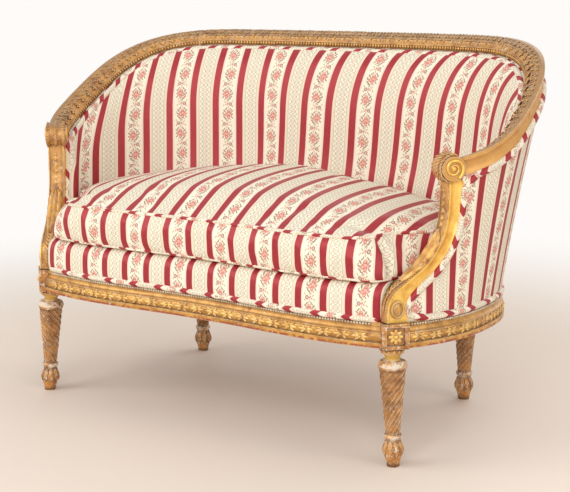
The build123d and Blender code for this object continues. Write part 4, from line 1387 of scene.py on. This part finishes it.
def leafMesh(width=0.5, crown=0.16, rib=0.07, curl=0.05, long=5, wide=4, foot=-0.06):
    verts = []
    for t in steps(0.0, 1.0, long):
        half = width / 2 * max(0.04, math.sin(math.pi * t ** 0.8)) ** 0.8
        for u in steps(-1.0, 1.0, wide):
            z = crown * (1 - u * u) * math.sin(math.pi * (0.08 + 0.84 * t))
            z -= rib * (1 - abs(u)) ** 2 * math.sin(math.pi * t)
            verts.append(Vector((t, half * u, z + curl * t * t)))
    rim = rimOf(long + 1, wide + 1)
    rim = rim[:1] + rim[:0:-1]  # this way round, the walls of joined leaves face alike
    lows = list(range(len(verts), len(verts) + len(rim)))
    faces = gridFaces(long + 1, wide + 1) + walls(rim, lows) + [tuple(lows)[::-1]]
    return verts + [Vector((verts[k].x, verts[k].y, foot)) for k in rim], faces


def placed(part, turn=0.0, size=1.0, shift=(0, 0, 0), narrow=1.0):
    verts, faces = part
    move = Matrix.Translation(shift) @ Matrix.Rotation(math.radians(turn), 4, "Z")
    return [move @ Vector((v.x * size, v.y * size * narrow, v.z * size)) for v in verts], faces


def joined(parts):
    verts, faces = [], []
    for v, f in parts:
        base = len(verts)
        verts += v
        faces += [tuple(base + k for k in face) for face in f]
    return verts, faces


leaf = leafMesh()
bead = beadMesh()
smallLeaf = leafMesh(0.44, 0.15, 0.05, 0.02, 4, 2)
sprayLeaves = (  # turn, size, place
    (34, 0.36, (0.02, 0.02, 0)), (-34, 0.36, (0.02, -0.02, 0)), (214, 0.36, (-0.02, -0.02, 0)),
    (146, 0.36, (-0.02, 0.02, 0)), (0, 0.50, (0, 0, 0)), (180, 0.50, (0, 0, 0)),
)
spray = [placed(smallLeaf, *one) for one in sprayLeaves] + [placed(bead, 0, 0.15, (0, 0, 0.04))]
husk = [placed(leaf, turn, 0.9, (0, 0, 0), 0.8) for turn in (-30, 30)]
husk += [placed(leaf, 0, 1.0, (0, 0, 0.05), 0.7), placed(bead, 0, 0.36, (0, 0, 0.08))]
ornaments = {"bead": bead, "gadroon": beadMesh(1.55, 0.9), "leaf": leaf, "spray": joined(spray),
             "husk": joined(husk)}
shapes = {name: makePiece(name + "Shape", *part, weld=1e-5) for name, part in ornaments.items()}
print("ornament shapes made")

# carved shapes built in place


def bothSides(part):  # the right hand shape and its mirror
    verts, faces = part
    return joined([part, ([flip(v) for v in verts], [face[::-1] for face in faces])])


def carvedPiece(name, part, finish, crisp=40.0):
    piece = makePiece(name, *part)
    piece.data.set_sharp_from_angle(angle=math.radians(crisp))
    return dress(piece, gilt[finish])


def capped(rings):  # rings joined into a closed bar
    count, wide = len(rings), len(rings[0])
    ends = [tuple(range(wide))[::-1], tuple((count - 1) * wide + k for k in range(wide))]
    return [p for ring in rings for p in ring], gridFaces(count, wide, ringed=True) + ends


def tubeMesh(points, radii, sides=8):
    rings = []
    last = len(points) - 1
    turns = [math.tau * k / sides for k in range(sides)]
    normal = None
    for i, p in enumerate(points):
        t = (points[min(i + 1, last)] - points[max(i - 1, 0)]).normalized()
        normal = normal or t.orthogonal().normalized()
        normal = (normal - t * normal.dot(t)).normalized()
        side = t.cross(normal)
        rings.append([p + (normal * math.cos(a) + side * math.sin(a)) * radii[i] for a in turns])
    return capped(rings)


def ringMesh(points, radius, sides=8):
    verts = []
    count = len(points)
    middle = sum(points, Vector()) / count
    for i, p in enumerate(points):
        t = (points[(i + 1) % count] - points[i - 1]).normalized()
        out = p - middle
        out = (out - t * out.dot(t)).normalized()
        verts += ringAt(p, out * radius, t.cross(out) * radius, sides)
    return verts, gridFaces(count, sides, ringed=True, looped=True)


def domeMesh(centre, wide, tall, outward, rings=5, around=24):  # half axes and height as vectors
    verts = []
    for f in steps(1.0, 0.0, rings):
        verts += ringAt(centre + outward * math.sqrt(max(0.0, 1 - f * f)), wide * f, tall * f, around)
    return verts, gridFaces(rings + 1, around, ringed=True) + [tuple(range(around))[::-1]]


def leafStrip(spine, outs, side, halfWidth, height, lobes, across=12, blunt=0.25, depth=-0.004):
    # carved acanthus along a line: lobed edge, raised ribs, closed underneath
    verts = []
    count = len(spine)
    for top in (True, False):
        for t, place, out in zip(steps(0.0, 1.0, count - 1), spine, outs):
            lobe = 0.74 + 0.26 * abs(math.sin(math.pi * lobes * t)) ** 0.6
            taper = (0.55 + 0.45 * smooth(t * 4)) * max(blunt, 1 - max(0.0, (t - 0.7) / 0.3) ** 2)
            for u in steps(-1.0, 1.0, across):
                ribs = 0.30 * math.cos(u * math.pi * 3.0) * (1 - u * u)
                ribs += 0.22 * abs(math.sin(math.pi * (lobes * t - abs(u) * 0.5)))
                h = height * ((1 - u ** 4) * 0.62 + ribs) if top else depth
                verts.append(place + side * (halfWidth * lobe * taper * u) + out * h)
    return verts, closedGrids(count, across + 1)


def mirrored(places):
    return places + [(flip(p), flip(along), flip(out), size) for p, along, out, size in places]


# carved bands and bead rows

railRows = (  # name, shape, size, spacing, out, z, finish, variation, seed
    ("seatRailBeads", "bead", 0.0068, 0.0071, -0.0064, plan["railTop"] - 0.0046, "worn", 0.08, 5),
    ("seatRailSprays", "spray", 0.045, 0.046, -0.0028, plan["railBottom"] + 0.023, "highlight", 0.06, 7),
)
crestRows = (  # name, shape, size, spacing, place out and up, direction out and up, finish, variation, seed
    ("topRailBeads", "gadroon", 0.0076, 0.0086, (-0.0212, -0.0135), (-1.0, 0.0), "carved", 0.03, 11),
    ("topRailSprays", "spray", 0.034, 0.029, (-0.0140, 0.0036), (-0.76, 0.64), "carved", 0.05, 12),
)
crestLeaves = {
    "rows": (((-0.0058, 0.0122), (-0.61, 0.79)), ((0.0062, 0.0180), (-0.36, 0.93))),
    "size": 0.0165,
    "spacing": 0.0105,
    "berry": 0.0052,
    "lean": 0.62,
    "fillet": (-0.0215, -0.0074),
    "filletThick": 0.0014,
}


def atSpacing(pointAt, first, last, spacing):  # even steps along a curve: parameter, point, direction
    ts = steps(first, last, 600)
    pts = [pointAt(t) for t in ts]
    total = lengths(pts)
    count = max(1, round(total[-1] / spacing))
    found = []
    k = 0
    for n in range(count):
        goal = total[-1] * (n + 0.5) / count
        while total[k + 1] < goal:
            k += 1
        f = (goal - total[k]) / (total[k + 1] - total[k])
        heading = (pts[k + 1] - pts[k]).normalized()
        found.append((lerp(ts[k], ts[k + 1], f), pts[k].lerp(pts[k + 1], f), heading))
    return found


def carveSeatRails():
    for name, shape, size, spacing, out, z, finish, vary, seed in railRows:
        def front(x):
            return Vector((x, frontLine(x) - out, z))

        def around(degree):  # from the right side round the back to the left side
            return seatStation(degree).point(out, z)
        places = []
        for pointAt, first, last in ((front, -0.482, 0.482), (around, -26.4, 206.4)):
            for _, p, along in atSpacing(pointAt, first, last, spacing):
                places.append((p, along, Vector((along.y, -along.x, 0)).normalized(), 1.0))
        scatter(name, shape, places, size, finish, vary, seed)


def topRailPoint(out, up):
    def pointAt(degree):
        s = armStation(degree)
        return s.point(out, s.z + up * s.stretch)
    return pointAt


def carveTopRails():
    joint, scroll = plan["crestJoint"], plan["scrollAt"]
    runs = ((scroll + 6.0, joint - 0.4), (joint + 0.4, 179.6 - joint), (180.4 - joint, 174.0 - scroll))

    def row(spacing, place, facing):
        for first, last in runs:
            for d, p, along in atSpacing(topRailPoint(*place), first, last, spacing):
                yield d, p, along, (armStation(d).out * facing[0] + upright * facing[1]).normalized()
    for name, shape, size, spacing, place, facing, finish, vary, seed in crestRows:
        places = [(p, along, out, 1.0) for _, p, along, out in row(spacing, place, facing)]
        scatter(name, shape, places, size, finish, vary, seed)
    look = crestLeaves
    fillets = []
    for first, last in runs:
        line = [topRailPoint(*look["fillet"])(degree) for degree in steps(first, last, 80)]
        fillets.append(tubeMesh(line, [look["filletThick"]] * len(line), 6))
    carvedPiece("topRailFillets", joined(fillets), "carved", 60.0)
    leaves, berries = [], []
    for place, facing in look["rows"]:
        for d, p, along, out in row(look["spacing"], place, facing):
            heading = along if d < 90 else -along  # both halves run up to the middle
            cross = out.cross(heading).normalized()
            for lean in (-1, 1):
                pointed = (heading + cross * (lean * look["lean"])).normalized()
                leaves.append((p + cross * (lean * 0.0012), pointed, out, 1.0))
            berries.append((p + out * 0.002, along, out, 1.0))
    scatter("topRailLeaves", "leaf", leaves, look["size"], "dustAndShade", 0.10, 13)
    scatter("topRailBerries", "bead", berries[::2], look["berry"], "carved", 0.10, 17)


carveSeatRails()
carveTopRails()
print("rails carved")

# arm supports: swept, hollowed on the outer side, with a raised band down the front

supportLook = {
    "sections": 84,
    "hollow": 0.0062,
    "hollowFrom": 0.050,
    "hollowFull": 0.092,
    "step": 0.0012,
    "band": 0.0024,
    "bandShare": 0.78,
    "bandDeep": 0.004,
    "groove": 0.0018,
    "oval": (0.0145, 0.0180, 0.0310),  # half wide, half tall, height above the block
    "ovalOut": 0.0225,
    "ovalRim": 0.0026,
    "ovalDome": (0.62, 0.66, 0.0022),
    "acanthus": (0.404, 0.528),  # from and to which height
    "edging": (0.350, 0.628),
    "husks": (0.528, 0.614),
    "coins": (0.537, 0.622),
    "laurel": (0.352, 0.410),
}


def supportFrameAt(t):
    back, z, depth, thick = supportStep(t)
    a, b = supportStep(max(0.0, t - 0.03)), supportStep(min(lastStep, t + 0.03))
    heading = (supportAlong * (b[0] - a[0]) + upright * (b[1] - a[1])).normalized()
    return blockPlace + supportAlong * back + upright * z, heading, heading.cross(supportAcross), depth, thick


def bodySection(place, depth, thick):
    look = supportLook
    t, d, step, groove = thick / 2, depth / 2, look["step"], look["groove"] - depth / 2
    hollowed = (place.z - plan["railTop"] - look["hollowFrom"]) / (look["hollowFull"] - look["hollowFrom"])
    hollow = look["hollow"] * smooth(hollowed)
    outer = [(t, d), (t, 0.84 * d), (t - step, 0.78 * d)]
    for k in range(11):
        outer.append((t - step - hollow * math.sin(math.pi * k / 10) ** 0.8, lerp(0.74, -0.74, k / 10) * d))
    outer += [(t - step, -0.78 * d), (t, -0.84 * d), (t, -d)]
    front = [(0.86 * t, -d), (0.82 * t, groove), (-0.82 * t, groove), (-0.86 * t, -d)]
    return outer + front + [(-t, -d), (-t, d)]


def bandSection(_, depth, thick):
    look = supportLook
    t, d = look["bandShare"] * thick / 2, depth / 2
    face = [(lerp(t, -t, k / 8), -d - look["band"] * math.sin(math.pi * k / 8) ** 0.7) for k in range(9)]
    return face + [(-t, look["bandDeep"] - d), (t, look["bandDeep"] - d)]


def sweptSupport(sectionAt):
    rings = []
    for t in steps(0.0, lastStep, supportLook["sections"]):
        place, _, deep, depth, thick = supportFrameAt(t)
        rings.append([place + supportAcross * a + deep * d for a, d in sectionAt(place, depth, thick)])
    return bothSides(capped(rings))


def makeSupports():
    look = supportLook
    piece = carvedPiece("armSupports", sweptSupport(bodySection), "bright", 34.0)
    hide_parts("right_arm_support", "left_arm_support")
    carvedPiece("supportBands", sweptSupport(bandSection), "rail", 34.0)

    # sunk oval with a raised rim on the outer side, above the block
    halfWide, halfTall, up = look["oval"]
    wideShare, tallShare, high = look["ovalDome"]
    wide, tall = supportAlong * halfWide, upright * halfTall
    centre = blockPlace + supportAcross * look["ovalOut"] + upright * (plan["railTop"] + up)
    rim = ringMesh(ringAt(centre, wide, tall, 40), look["ovalRim"])
    dome = domeMesh(centre - supportAcross * 0.0012, wide * wideShare, tall * tallShare, supportAcross * high)
    carvedPiece("supportOvals", bothSides(joined([rim, dome])), "carved")


def supportFront(key, count, lift):  # points up the front face, with their directions
    for z in steps(*supportLook[key], count - 1):
        place, heading, deep, depth, _ = supportFrameAt(stepAtHeight(z))
        yield place - deep * (depth / 2 + lift), heading, -deep


def carveSupports():
    spine, outs = [], []
    for i, (p, _, out) in enumerate(supportFront("acanthus", 25, 0.0014)):
        spine.append(p + out * (0.004 * math.sin(math.pi * i / 24)))
        outs.append(out)
    leafy = leafStrip(spine, outs, supportAcross, 0.0200, 0.0080, 5)
    carvedPiece("supportAcanthus", bothSides(leafy), "carved", 60.0)
    edging, husks, laurel = [], [], []
    for p, heading, out in supportFront("edging", 72, 0.0002):
        edging += [(p + supportAcross * (side * 0.0178), heading, out, 1.0) for side in (-1, 1)]
    for i, (p, heading, out) in enumerate(supportFront("husks", 6, 0.0022)):
        husks.append((p, -heading, out, 1.0 - 0.05 * i))
    coins = [(p, heading, out, 1.0) for p, heading, out in supportFront("coins", 6, 0.0022)]
    for p, heading, out in supportFront("laurel", 11, 0.0022):
        laurel += [(p, (heading + supportAcross * (0.55 * lean)).normalized(), out, 1.0) for lean in (-1, 1)]
    scatter("supportEdging", "bead", mirrored(edging), 0.0046, "carved", 0.08, 18)
    scatter("supportHusks", "husk", mirrored(husks), 0.0125, "highlight", 0.04, 19)
    scatter("supportCoins", "bead", mirrored(coins), 0.0068, "highlight", 0.05, 23)
    scatter("supportLaurel", "leaf", mirrored(laurel), 0.0175, "carved", 0.08, 29)


makeSupports()
carveSupports()
print("supports swept and carved")

# scrolls: volute on both faces, acanthus rolled over the front

scrollLook = {
    "radius": 0.028,
    "halfWide": 0.026,
    "turns": 1.6,
    "startTurn": -60.0,
    "outer": 0.0240,
    "inner": 0.0060,
    "rib": 0.0040,
    "hub": (0.0062, 0.0045),  # radius, height
    "leafFrom": 62.0,
    "leafTo": 236.0,
    "leafRows": 12,
    "leafLift": 0.0012,
}


def makeScrolls():
    look = scrollLook
    s = scrollStation
    back = Vector((-s.out.y, s.out.x, 0))
    centre = s.point(0, s.z)

    def away(a):  # direction from the scroll's axis
        return back * math.cos(a) + upright * math.sin(a)
    parts = []
    hubRadius, hubHigh = look["hub"]
    for face in (1, -1):
        hub = centre + s.out * (look["halfWide"] * face)
        points, radii = [], []
        for f in steps(0.0, 1.0, 96):
            a = math.radians(look["startTurn"]) + math.tau * look["turns"] * f
            points.append(hub + away(a) * lerp(look["outer"], look["inner"], f ** 0.85))
            radii.append(lerp(look["rib"], look["rib"] * 0.55, f))
        parts.append(tubeMesh(points, radii))
        parts.append(domeMesh(hub, back * hubRadius, upright * hubRadius, s.out * (face * hubHigh)))
    carvedPiece("armVolutes", bothSides(joined(parts)), "bright", 60.0)
    outs = [away(math.radians(degree)) for degree in steps(look["leafFrom"], look["leafTo"], 40)]
    spine = [centre + out * (look["radius"] + 0.0002) for out in outs]
    leafy = leafStrip(spine, outs, s.out, 0.0262, 0.0026, 6, 20, 0.7)
    carvedPiece("scrollAcanthus", bothSides(leafy), "rail", 60.0)
    leaves = []
    for degree in steps(look["leafFrom"], look["leafTo"] - 6, look["leafRows"] - 1):
        a = math.radians(degree)
        out = away(a)
        heading = upright * math.cos(a) - back * math.sin(a)
        for share in (-0.62, 0.0, 0.62):
            place = centre + out * (look["radius"] + look["leafLift"]) + s.out * (look["halfWide"] * share)
            leaves.append((place, (heading + s.out * (share * 0.7)).normalized(), out, 1.0))
    scatter("scrollLeaves", "leaf", mirrored(leaves), 0.0185, "rail", 0.08, 37)


makeScrolls()
print("scrolls carved")

# legs: leaf rings under the block and round the foot

legLook = {
    "splay": (0.010, 0.006),
    "neckLeaves": 14,
    "neckZ": 0.2600,
    "neckRadius": 0.0205,
    "neckFlare": 0.75,
    "footLeaves": 9,
    "footLeaf": (0.060, 0.026),  # from and to which height
}


def legAxes():  # node, foot and head of each leg's centre line
    half, line = plan["halfLeg"], plan["legLine"]
    backX, backY = plan["backLeg"]
    splayX, splayY = legLook["splay"]
    for name, side in (("right", 1), ("left", -1)):
        top = upright * plan["railBottom"]
        low = Vector((side * (half + splayX), -splayY - line, 0))
        yield name + "_front_leg", low, Vector((side * half, -line, 0)) + top
        low = Vector((side * backX, backY - line, 0))
        yield name + "_back_leg", low, low + top


def footLeaf(skin, low, axis, out):  # leaf laid on the turned foot, tip down
    spine = [skin.ray_cast(low + axis * up + out * 0.06, -out)[0] for up in steps(*legLook["footLeaf"], 12)]
    return leafStrip(spine, [out] * len(spine), axis.cross(out), 0.0062, 0.0026, 2, 8, 0.12)


def carveLegs():
    look = legLook
    flare = look["neckFlare"]
    neck, foot = [], []
    for name, low, high in legAxes():
        axis = (high - low).normalized()
        mesh = nodes[name].data
        skin = BVHTree.FromPolygons([v.co for v in mesh.vertices], [p.vertices for p in mesh.polygons])

        def outward(count):  # directions round the leg
            for out in ringAt(Vector(), Vector((1, 0, 0)), Vector((0, 1, 0)), count):
                yield (out - axis * out.dot(axis)).normalized()
        for out in outward(look["neckLeaves"]):
            place = low + axis * look["neckZ"] + out * look["neckRadius"]
            neck.append((place, (axis + out * flare).normalized(), (out - axis * flare).normalized(), 1.0))
        foot += [footLeaf(skin, low, axis, out) for out in outward(look["footLeaves"])]
    scatter("legNeckLeaves", "leaf", neck, 0.0150, "highlight", 0.05, 31)
    carvedPiece("legFootLeaves", joined(foot), "leg", 60.0)


carveLegs()
for shape in shapes.values():
    bpy.data.objects.remove(shape)
print("legs carved")
